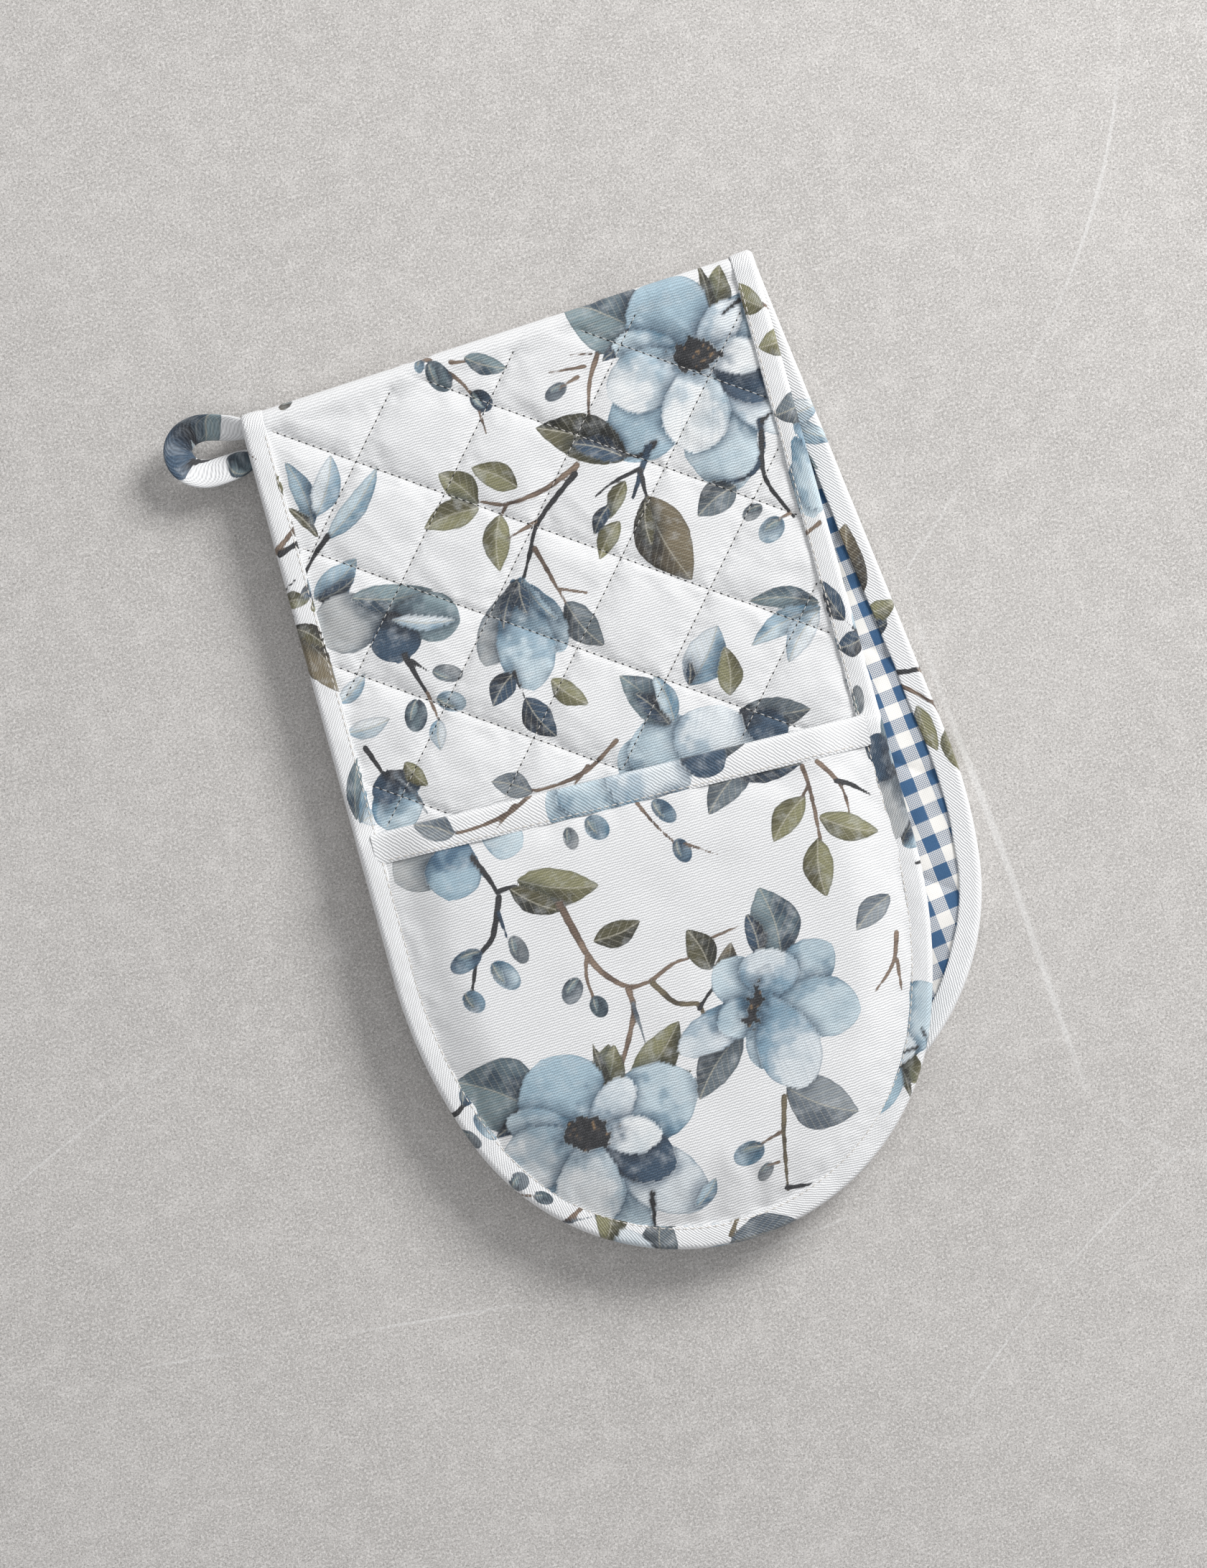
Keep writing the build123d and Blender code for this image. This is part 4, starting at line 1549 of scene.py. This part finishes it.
    def _relief(self, flat: Array) -> Array:
        """Small folds and gathers that stitching leaves, as a change of height.

        Args:
            flat: Flat rows of x, y and height.

        Returns:
            The change of height of each row in millimetres.
        """
        x, y = flat[:, 0], flat[:, 1]
        mitt = self.mitt
        inset = mitt.inside(x, y)
        near_edge = np.exp(-np.maximum(inset - mitt.binding, 0) / 7)
        near_edge = near_edge * eased(inset, mitt.binding - 1, mitt.binding + 1.5)
        gathers = (mottle(x, y, 4.2, 3) - 0.5) * 0.75 * near_edge
        broad = (mottle(x, y, 34, 7) - 0.5) * 0.9 + (mottle(x + y * 0.5, y - x * 0.3, 15, 9) - 0.5) * 0.55
        if self.cut is Cut.BAND:
            gap = self.quilting.distance(x, y)
            seam = np.exp(-(gap / 1.5) ** 2) * -0.42
            tuck = np.exp(-gap / 4.5) * (mottle(x, y, 3.1, 13) - 0.5) * 0.55
            inner = eased(inset, mitt.binding, mitt.binding + 4) * eased(mitt.fold.bend_y - y, -6, 6)
            crease = (0.5 - np.abs(mottle(x * 0.9 + y * 0.5, (y - x * 0.4) * 0.45, 9, 15) - 0.5)) * 0.9
            crease = (crease + (mottle(x * 0.5, y, 6, 16) - 0.5) * 0.5) * eased(gap, 0.5, 6)
            return gathers + (seam + tuck + (broad + crease) * 0.75 * eased(gap, 0, 7)) * inner
        open_part = eased(mitt.past_mouth(x, y), 11, 22) * eased(inset, mitt.binding, mitt.binding + 8)
        return gathers + broad * open_part

    def build(self) -> list[bpy.types.Object]:
        """Returns:
            The panel, and for a band its half of the fold.
        """
        mitt, fold = self.mitt, self.mitt.fold
        mesh = self._refined(self._puffed(self._slab()))
        flat = coords(mesh)
        outer = flat[:, 2] - self.middle - self.lift(flat[:, 0], flat[:, 1]) > 0
        relief = self._relief(flat)
        flat[:, 2] += np.where(outer, relief, -relief * 0.6)
        p, q = mitt.across(flat[:, 0], flat[:, 1])
        px, py = flat[:, 0] - fold.middle_x - self.print_x, fold.outer_y - flat[:, 1]
        if mitt.face is Face.DOWN:
            py = -py - self.lower_print_y
            if self.cut is Cut.POCKET:
                py = py + self.lower_pocket_print_y
        store_cloth_uv(mesh, np.where(outer, px, p), np.where(outer, py, q))
        self.floral.paint(mesh, px, py, Cut.TAPE if mitt.face is Face.DOWN else self.cut)
        put(mesh, fold.lay(flat, mitt.face) * MM)
        if mitt.face is Face.DOWN:
            mesh.flip_normals()
        finishes = [self.finishes.print_cloth, self.finishes.gingham]
        nodes = [f"{mitt.name}_{self.cut.value}_{layer}" for layer in ("cloth", "wadding", "lining")]
        body = f"{mitt.name}_mitt"
        if self.cut is Cut.POCKET:
            panel = show(self.name, mesh, finishes)
            made = [panel]
        else:
            line = fold.seam_y * MM
            panel = show(self.name, divided(mesh, self.name, lambda m: m[:, 1] <= line), finishes)
            half_name = f"fold_{mitt.name}_half"
            crest = show(half_name, divided(mesh, half_name, lambda m: m[:, 1] > line), finishes)
            FoldHalf(mitt).bind(crest, "fold_cloth", "fold_wadding", "fold_lining")
            made = [panel, crest]
        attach(panel, body)
        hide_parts(*nodes)
        log.info("%s: %d faces", self.name, len(mesh.polygons))
        return made


@dataclass(frozen=True)
class FoldHalf:
    """Half of the fold on one mitt's side."""

    mitt: Mitt

    def bind(self, piece: bpy.types.Object, *nodes: str) -> None:
        """Bakes a piece's place into its mesh, and lets it stand for CAD nodes.

        Args:
            piece: The finished piece.
            nodes: CAD nodes that it stands for.
        """
        if self.mitt.face is Face.UP:
            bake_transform(piece)
        else:
            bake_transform(piece)
        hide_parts(*nodes)


@dataclass
class EdgeBinding:
    """Bias tape folded round the rim of one mitt.

    Its section runs over the printed face, round the nose, along the back and up to where it
    began; shares says how much of the way round each of the first three has ended.
    """

    mitt: Mitt
    finishes: Wardrobe
    floral: FloralPrint
    step: float = 1.25
    girth: int = 34
    back: float = -2.35
    nose: float = 2.2
    proud: float = 0.28
    shares: tuple[float, float, float] = (0.36, 0.60, 0.94)
    round_length: float = 30.0

    def section(self, rim_top: Array) -> tuple[Array, Array, Array]:
        """Closed section of the tape at every station.

        Args:
            rim_top: Height of the tape's printed side at each station.

        Returns:
            Inward distance, height, and distance over the cloth, stations by girth.
        """
        width, low, nose = self.mitt.binding, self.back, self.nose
        face_end, nose_end, back_end = self.shares
        turns = np.linspace(0, 1, self.girth, endpoint=False)
        inward, height = np.zeros((len(rim_top), self.girth)), np.zeros((len(rim_top), self.girth))
        for k, t in enumerate(turns):
            if t < face_end:
                s = t / face_end
                inward[:, k] = width - (width - nose) * s
                height[:, k] = rim_top - 0.30 + 0.62 * math.sin(math.pi * min(s * 0.62, 0.5))
            elif t < nose_end:
                s = (t - face_end) / (nose_end - face_end) * math.pi
                radius = (rim_top - low) / 2
                inward[:, k] = nose - nose * math.sin(s) ** 0.8
                height[:, k] = low + radius + (radius + self.proud) * math.cos(s)
            elif t < back_end:
                s = (t - nose_end) / (back_end - nose_end)
                inward[:, k] = nose + (width - nose) * s
                height[:, k] = low - self.proud * (1 - s)
            else:
                s = (t - back_end) / (1 - back_end)
                inward[:, k] = width - 0.8 * math.sin(math.pi * s)
                height[:, k] = low + (rim_top - 0.3 - low) * s
        cloth = np.tile(turns * self.round_length, (len(rim_top), 1))
        return inward, height, cloth

    def rim_height(self, x: Array, y: Array) -> Array:
        """Printed-side height of the rim, higher where the pocket is sewn in."""
        return 2.3 + 2.6 * eased(self.mitt.past_mouth(x, y), -4, 5)

    def build(self) -> list[bpy.types.Object]:
        """Makes the mitt's binding and its two ends over the fold.

        Returns:
            The binding, and its left and right ends over the fold.
        """
        mitt, fold = self.mitt, self.mitt.fold
        stations, way, gone = mitt.walk(self.step)
        mesh, i, j = strip(f"{mitt.name}_edge_tape", len(stations) - 1, self.girth)
        inward, height, cloth = self.section(self.rim_height(stations[:, 0], stations[:, 1]))
        jj = j % self.girth
        u = inward[i, jj]
        ruck = (mottle(gone[i], u, 5.5, 17) - 0.5) * 0.34 + (mottle(gone[i], u * 0.4, 14, 19) - 0.5) * 0.45
        h = height[i, jj] + ruck * np.where(jj < self.girth * 0.6, 1, 0.3)
        u = u + (mottle(gone[i], u * 0, 11, 21) - 0.5) * 0.5 * eased(u, 5, 9)
        x, y = stations[i, 0] + way[i, 0] * u, stations[i, 1] + way[i, 1] * u
        along, over = gone[i], np.where(j == self.girth, self.round_length, cloth[i, jj])
        store_cloth_uv(mesh, along, over)
        px, py = (along + over) * BIAS - 40 * mitt.face.value, (along - over) * BIAS + 30
        self.floral.paint(mesh, px, py, Cut.TAPE)
        put(mesh, fold.lay(np.stack([x, y, h], axis=1), mitt.face) * MM)
        weld(mesh, 1e-6)
        line, middle = fold.seam_y * MM, fold.middle_x * MM
        tape = show(mesh.name, divided(mesh, mesh.name, lambda m: m[:, 1] <= line), [self.finishes.tape_cloth])
        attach(tape, f"{mitt.name}_mitt")
        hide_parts(f"{mitt.name}_edge_binding")
        made = [tape]
        for side, test in (("left", lambda m: (m[:, 1] > line) & (m[:, 0] < middle)),
                           ("right", lambda m: (m[:, 1] > line) & (m[:, 0] > middle))):
            name = f"fold_{side}_binding_{mitt.name}_half"
            end = show(name, divided(mesh, name, test), [self.finishes.tape_cloth])
            FoldHalf(mitt).bind(end, f"fold_{side}_binding")
            made.append(end)
        log.info("%s: %d faces", mesh.name, len(mesh.polygons))
        return made


@dataclass
class MouthBinding:
    """Tape folded over the edge of a pocket's mouth, from one edge binding to the other."""

    panel: QuiltedPanel
    width: float = 12.5
    thick: float = 0.55
    end_gap: float = 6.5
    step: float = 1.3
    girth: int = 30

    def build(self) -> bpy.types.Object:
        """Makes the tape.

        Returns:
            The tape's object.
        """
        mitt, fold = self.panel.mitt, self.panel.mitt.fold
        turn = mitt.lean - math.radians(mitt.mouth_slant)
        along_way = np.array([math.cos(turn), math.sin(turn)])
        in_way = np.array([math.sin(turn), -math.cos(turn)])
        start = np.array(mitt.flat(np.float64(0), np.float64(mitt.mouth_q)))
        reach = mitt.half - self.end_gap
        length = round(2 * reach / self.step)
        mesh, i, j = strip(f"{mitt.name}_mouth_tape", length, self.girth)
        along = (i / length * 2 - 1) * reach
        t = j / self.girth
        panel_half = self.panel.half
        inner = t >= 0.5
        s = np.where(inner, (t - 0.5) * 2, t * 2)
        depth = np.where(inner, self.width * s, self.width * (1 - s))
        nose = np.sqrt(np.clip(1 - (1 - np.clip(depth / 2.0, 0, 1)) ** 2, 0, 1))
        swell = 0.55 * np.sin(math.pi * np.clip(depth / self.width, 0, 1)) + 0.15
        outer_h = (panel_half + self.thick * 0.6 + swell) * nose
        inner_h = -(panel_half + 0.3) * nose
        tuck = np.where(depth > self.width - 0.01, 0.25, 0)
        h = np.where(inner, inner_h, outer_h - tuck)
        x = start[0] + along_way[0] * along + in_way[0] * depth
        y = start[1] + along_way[1] * along + in_way[1] * depth
        lift = self.panel.lift(x, y)
        wave = (mottle(along, depth, 9, 51) - 0.5) * 0.35 * nose
        height = self.panel.middle + lift + h + wave * np.where(inner, 0.2, 1)
        store_cloth_uv(mesh, along, np.where(inner, -depth, depth))
        px, py = along + 40, np.where(inner, -depth, depth) + 176
        self.panel.floral.paint(mesh, px * 0.94 - 20, py + along * 0.10, Cut.TAPE)
        put(mesh, fold.lay(np.stack([x, y, height], axis=1), mitt.face) * MM)
        weld(mesh, 2e-6)
        tape = show(mesh.name, mesh, [self.panel.finishes.tape_cloth])
        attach(tape, f"{mitt.name}_mitt")
        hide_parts(f"{mitt.name}_mouth_binding")
        log.info("%s: %d faces", mesh.name, len(mesh.polygons))
        return tape


@dataclass
class HangingLoop:
    """Doubled tape bent into a flat ring and sewn in at the fold's left end.

    It is root_half high at each end and widens at root_angle until it is as wide as the tape.
    """

    fold: Fold
    finishes: Wardrobe
    floral: FloralPrint
    root_gap: float = 2.0
    half_width: float = 106.5
    tape: float = 12.0
    thick: float = 1.6
    tilt: float = 66.0
    root_half: float = 4.2
    root_angle: float = 14.0
    bend_length: float = 7.0
    round_length: float = 23.0
    print_at: tuple[float, float] = (-84.0, 69.0)
    route: tuple[tuple[float, float], ...] = ((4.5, -5.5), (-4, -2.5), (-12, 1.5), (-21, 1.0), (-26.5, -4.5),
                                              (-25.5, -12.5), (-19, -17.5), (-10, -18.2), (4.0, -16.5))

    def _centre_line(self, count: int) -> Array:
        """Evenly spaced places on the tape's smooth way.

        Args:
            count: How many places.

        Returns:
            Rows of flat x and y in millimetres.
        """
        data = bpy.data.curves.new("loop_way", "CURVE")
        data.dimensions, data.resolution_u = "3D", 24
        spline = data.splines.new("NURBS")
        spline.points.add(len(self.route) - 1)
        root = self.fold.middle_x - self.half_width - self.root_gap
        for point, (out, along) in zip(spline.points, self.route):
            point.co = ((root + out) * MM, (self.fold.outer_y + along) * MM, 0, 1)
        spline.order_u, spline.use_endpoint_u = 4, True
        carrier = bpy.data.objects.new("loop_way", data)
        bpy.context.scene.collection.objects.link(carrier)
        ready = carrier.evaluated_get(bpy.context.evaluated_depsgraph_get())
        line = coords(bpy.data.meshes.new_from_object(ready)) / MM
        bpy.data.objects.remove(carrier)
        gone = travelled(line)
        spaced = np.linspace(0, gone[-1], count)
        return np.stack([np.interp(spaced, gone, line[:, k]) for k in (0, 1)], axis=1)

    def build(self) -> bpy.types.Object:
        """Makes the loop.

        Returns:
            The loop's object.
        """
        count, girth = 110, 26
        line = self._centre_line(count)
        way = np.gradient(line, axis=0)
        way /= np.linalg.norm(way, axis=1)[:, None]
        gone = travelled(line)
        mesh, i, j = strip("hanging_loop", count - 1, girth)
        j = j % girth
        ring = j / girth * 2 * math.pi
        reach = np.abs(line[:, 0] - line[0, 0])
        half = np.minimum(self.tape / 2, self.root_half + reach * math.tan(math.radians(self.root_angle)))
        up = np.sign(np.cos(ring)) * np.abs(np.cos(ring)) ** 0.45
        out = np.sign(np.sin(ring)) * np.abs(np.sin(ring)) ** 0.6
        roll = 0.25 * np.sin(gone[i] / gone[-1] * math.pi) * out * np.abs(np.sin(ring))
        side = np.stack([-way[i, 1], way[i, 0]], axis=1)
        tip = 0.9 * np.sin(gone[i] / gone[-1] * math.pi * 2) * up
        off = out * self.thick / 2 + tip + roll + (mottle(gone[i], up * 5, 6, 61) - 0.5) * 0.35
        lean = math.radians(self.tilt) * (0.80 + 0.20 * np.sin(gone[i] / gone[-1] * math.pi))
        off, rise = off * np.cos(lean) - up * half[i] * np.sin(lean), up * half[i] * np.cos(lean) + off * np.sin(lean)
        x, y = line[i, 0] + side[:, 0] * off, line[i, 1] + side[:, 1] * off
        z = self.fold.bend_z + rise
        over = j / girth * self.round_length
        store_cloth_uv(mesh, gone[i], over)
        self.floral.paint(mesh, over + self.print_at[0], gone[i] + self.print_at[1], Cut.TAPE)
        put(mesh, np.stack([x, y, z], axis=1) * MM)
        weld(mesh, 2e-6, capped=True)
        loop = show("hanging_loop_tape", mesh, [self.finishes.tape_cloth])
        start = ((self.fold.middle_x - self.half_width) * MM, self.fold.outer_y * MM, self.fold.bend_z * MM)
        end = (start[0] - self.bend_length * MM, start[1], start[2])
        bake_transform(loop)
        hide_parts("hanging_loop")
        self.tape * MM
        log.info("hanging loop: %.0f mm of tape", gone[-1])
        return loop


@dataclass(frozen=True)
class Stitch:
    """One kind of stitch in millimetres, and whether its needle holes show between stitches as dark beads of painted
    shade.
    """

    pitch: float
    length: float
    radius: float
    holes: bool


QUILTING_STITCH = Stitch(3.0, 2.0, 0.19, True)
TOPSTITCH = Stitch(3.0, 2.3, 0.24, False)
# The needle holes are dark beads of painted shade, of this length and radius.
HOLE_SHADE_LENGTH, HOLE_SHADE_RADIUS = 1.15, 0.30


class Row:
    """Rows of stitches gathered in one mesh."""

    def __init__(self, name: str, fold: Fold, face: Face) -> None:
        """Starts an empty row."""
        self.name, self.fold, self.face = name, fold, face
        self.mesh = bmesh.new()

    def _bead(self, length: float, radius: float, index: int) -> bpy.types.Mesh:
        """Small closed bead along X: a stitch, or the painted shade in one of the needle holes.

        Args:
            length: Length in millimetres.
            radius: Radius in millimetres.
            index: Its material index.

        Returns:
            The bead's mesh.
        """
        bm = bmesh.new()
        bmesh.ops.create_uvsphere(bm, u_segments=6, v_segments=4, radius=1.0)
        bmesh.ops.rotate(bm, cent=(0, 0, 0), matrix=Matrix.Rotation(math.pi / 2, 3, "Y"), verts=bm.verts)
        bmesh.ops.scale(bm, vec=(length / 2, radius, radius * 0.8), verts=bm.verts)
        for f in bm.faces:
            f.material_index = index
            f.smooth = True
        bead = bpy.data.meshes.new("bead")
        bm.to_mesh(bead)
        bm.free()
        return bead

    def sew(self, flat: Array, kind: Stitch) -> None:
        """Sews one line.

        Args:
            flat: Flat places along the line, rows of x, y and height.
            kind: The stitch to sew with.
        """
        pitch, length = kind.pitch, kind.length
        gone = travelled(flat[:, :2])
        if gone[-1] < 2 * pitch:
            return
        laid = self.fold.lay(flat, self.face) * MM
        centres = np.arange(pitch / 2, gone[-1] - pitch / 2, pitch)
        stitch, hole_shade = self._bead(length, kind.radius, 0), self._bead(HOLE_SHADE_LENGTH, HOLE_SHADE_RADIUS, 1)

        def at(s: float) -> Vector:
            """Place on the line at a distance along it."""
            return Vector([float(np.interp(s, gone, laid[:, k])) for k in range(3)])

        for s in centres:
            a, b = at(s - length / 2), at(s + length / 2)
            way = (b - a).normalized()
            turn = way.to_track_quat("X", "Z").to_matrix().to_4x4()
            # Between stitches, a dark bead paints the shade in the needle holes.
            beads = [(stitch, at(s))] + ([(hole_shade, at(s + pitch / 2))] if kind.holes else [])
            for bead, place in beads:
                m = Matrix.Translation(place) @ turn @ Matrix.Scale(MM, 4)
                bead.transform(m)
                self.mesh.from_mesh(bead)
                bead.transform(m.inverted())

    def finish(self, materials: Sequence[bpy.types.Material], body: str, node: str) -> bpy.types.Object:
        """Shows the row, rides it and lets it stand for its CAD node.

        Args:
            materials: Finishes of the stitches and of the painted shade in the needle holes.
            body: Body that it rides.
            node: CAD node that it stands for.

        Returns:
            The row's object.
        """
        mesh = bpy.data.meshes.new(self.name)
        self.mesh.to_mesh(mesh)
        self.mesh.free()
        made = show(self.name, mesh, materials)
        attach(made, body)
        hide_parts(node)
        log.info("%s: %d faces", self.name, len(mesh.polygons))
        return made


@dataclass
class Needlework:
    """All rows of stitches of one mitt: quilting, edge topstitching and mouth topstitching."""

    mitt: Mitt
    quilting: Quilting
    finishes: Wardrobe
    band: bpy.types.Object
    step: float = 1.5
    in_from_edge: float = 1.1
    in_from_mouth: float = 11.3

    def _surface(self, piece: bpy.types.Object, x: Array, y: Array, rise: float) -> Array:
        """Flat rows that lie on a finished piece's printed face, from a ray at each place.

        Args:
            piece: The finished piece.
            x: Flat x of each place.
            y: Flat y of each place.
            rise: How far above the surface the rows lie.

        Returns:
            Rows of x, y and height, without the places that miss the piece.
        """
        mitt, fold = self.mitt, self.mitt.fold
        way = mitt.face.value
        bpy.context.view_layer.update()
        found = np.full(len(x), np.nan)
        for k in range(len(x)):
            hit, place, _, _ = piece.ray_cast(Vector((x[k] * MM, y[k] * MM, way * 0.2)), Vector((0, 0, -way)))
            if hit:
                found[k] = way * (place.z / MM - fold.bend_z) - fold.neutral
        keep = ~np.isnan(found)
        return np.stack([x[keep], y[keep], found[keep] + rise], axis=1)

    def build(self) -> list[bpy.types.Object]:
        """Sews the mitt.

        Returns:
            The quilting and the topstitching.
        """
        mitt, fold = self.mitt, self.mitt.fold
        quilt = Row(f"{mitt.name}_quilting_stitches", fold, mitt.face)
        for foot, way in self.quilting.lines():
            t = np.arange(-330, 330, 1.0)
            x, y = foot.x + way.x * t, foot.y + way.y * t
            inside = ((mitt.inside(x, y) > mitt.binding + 0.5) & (y < fold.seam_y - 0.6)
                      & (mitt.past_mouth(x, y) < -0.5))
            if inside.sum() > 6:
                rows = self._surface(self.band, x[inside], y[inside], 0.02)
                if len(rows) > 4:
                    quilt.sew(rows, QUILTING_STITCH)
        made = [quilt.finish([self.finishes.quilt_thread, self.finishes.needle_hole], f"{mitt.name}_mitt",
                             f"{mitt.name}_quilting")]
        edge = Row(f"{mitt.name}_topstitching", fold, mitt.face)
        stations, way, _ = mitt.walk(self.step)
        x, y = (stations + way * (mitt.binding - self.in_from_edge)).T
        keep = y < fold.seam_y - 0.8
        tape = bpy.data.objects[f"{mitt.name}_edge_tape"]
        edge.sew(self._surface(tape, x[keep], y[keep], 0.04), TOPSTITCH)
        turn = mitt.lean - math.radians(mitt.mouth_slant)
        start = np.array(mitt.flat(np.float64(0), np.float64(mitt.mouth_q)))
        t = np.arange(-(mitt.half - 11), mitt.half - 11, self.step)
        x = start[0] + math.cos(turn) * t + math.sin(turn) * self.in_from_mouth
        y = start[1] + math.sin(turn) * t - math.cos(turn) * self.in_from_mouth
        mouth = bpy.data.objects[f"{mitt.name}_mouth_tape"]
        edge.sew(self._surface(mouth, x, y, 0.03), TOPSTITCH)
        made.append(edge.finish([self.finishes.white_thread, self.finishes.needle_hole], f"{mitt.name}_mitt",
                                f"{mitt.name}_edge_stitching"))
        return made


@dataclass
class Bartack:
    """Dense tack of thread that holds the loop's sewn end."""

    fold: Fold
    finishes: Wardrobe

    def build(self) -> bpy.types.Object:
        """Makes the tack as close turns of thread.

        Returns:
            The tack's object.
        """
        low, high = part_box("loop_bartack")
        bm = bmesh.new()
        size = high - low
        turns = 11
        for k in range(turns):
            z = low.z + size.z * (k + 0.5) / turns
            spot = Matrix.Translation(((low.x + high.x) / 2, (low.y + high.y) / 2, z))
            spread = Matrix.Diagonal((size.x, size.y / 2, size.z / turns * 0.62, 1))
            bmesh.ops.create_uvsphere(bm, u_segments=8, v_segments=6, radius=1.0, matrix=spot @ spread)
        mesh = bpy.data.meshes.new("loop_tack")
        bm.to_mesh(mesh)
        bm.free()
        made = show("loop_tack_thread", mesh, [self.finishes.white_thread])
        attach(made, "fold_spine")
        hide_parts("loop_bartack")
        return made


# --- studio -------------------------------------------------------------------------------


@dataclass
class Studio:
    """Pale stone floor, one large soft light, a weak fill, and the camera straight above."""

    finishes: Wardrobe
    aim_x: float = -6.18
    aim_y: float = 0.6
    turn: float = -18.13
    height: float = 1.35
    field: float = 618.7
    subject: float = 0.015

    def camera(self) -> None:
        """Makes the camera, which looks straight down."""
        data = bpy.data.cameras.new("camera")
        data.sensor_fit, data.sensor_width = "AUTO", 36.0
        data.lens = 18.0 / (self.field * MM / 2 / self.height)
        data.clip_start, data.clip_end = 0.05, 20.0
        made = bpy.data.objects.new("camera", data)
        bpy.context.scene.collection.objects.link(made)
        made.location = (self.aim_x * MM, self.aim_y * MM, self.height + self.subject)
        made.rotation_euler = (0, 0, math.radians(self.turn))
        bpy.context.scene.camera = made

    def light(self, name: str, place: Sequence[float], size: float, power: float,
              tint: Sequence[float]) -> None:
        """Hangs one soft light that looks at the glove.

        Args:
            name: The light's name.
            place: Where it hangs, in metres.
            size: Its width in metres.
            power: Its power in watts.
            tint: Its colour.
        """
        data = bpy.data.lights.new(name, "AREA")
        data.shape, data.size, data.energy, data.color = "DISK", size, power, tint
        made = bpy.data.objects.new(name, data)
        bpy.context.scene.collection.objects.link(made)
        made.location = place
        made.rotation_euler = (-Vector(place)).to_track_quat("-Z", "Y").to_euler()

    def build(self) -> None:
        """Lights the set and lays the floor."""
        self.camera()
        self.light("window", (2.0, 1.15, 1.35), 1.2, 83.0, (1.0, 0.996, 0.99))
        self.light("fill", (-0.6, -0.4, 1.9), 1.6, 5.0, (0.97, 0.985, 1.0))
        world = bpy.data.worlds.new("studio")
        bpy.context.scene.view_settings.view_transform = "Standard"
        world.use_nodes = True
        back = world.node_tree.nodes["Background"]
        back.inputs[0].default_value, back.inputs[1].default_value = (0.985, 0.985, 1.0, 1), 0.43
        bpy.context.scene.world = world
        bm = bmesh.new()
        bmesh.ops.create_grid(bm, x_segments=4, y_segments=4, size=2.5)
        mesh = bpy.data.meshes.new("stone_floor")
        bm.to_mesh(mesh)
        bm.free()
        show("stone_floor", mesh, [self.finishes.stone])


MITTS = (("upper", Face.UP, -2.7, 6.5), ("lower", Face.DOWN, 4.0, 3.0))
"""Each mitt's name, printed face, lean in degrees, and how much its finger end narrows."""


def main() -> None:
    """Builds the glove and its studio."""
    logging.basicConfig(level=logging.INFO, format="%(name)s: %(message)s")
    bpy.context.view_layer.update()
    low, high = (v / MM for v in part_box("fold_cloth"))
    fold = Fold((low.x + high.x) / 2, high.y, low.y, (low.z + high.z) / 2)
    width = high.x - low.x + 1.0
    finishes = Wardrobe.build()
    Studio(finishes).build()
    floral = FloralPrint()
    quilting = Quilting(fold.middle_x, fold.outer_y)
    for name, face, degrees, narrowing in MITTS:
        lean = math.radians(degrees)
        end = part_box(f"{name}_edge_binding")[0].y / MM
        radius = width / 2 - narrowing
        reach = (fold.outer_y - end - radius) / math.cos(lean) + radius
        mitt = Mitt(name, face, lean, reach, fold, width, narrowing)
        band_panel = QuiltedPanel(mitt, Cut.BAND, quilting, finishes, floral)
        pocket_panel = QuiltedPanel(mitt, Cut.POCKET, quilting, finishes, floral)
        band = band_panel.build()[0]
        pocket_panel.build()
        EdgeBinding(mitt, finishes, floral).build()
        MouthBinding(pocket_panel).build()
        Needlework(mitt, quilting, finishes, band).build()
    HangingLoop(fold, finishes, floral).build()
    Bartack(fold, finishes).build()


if __name__ == "__main__":
    main()
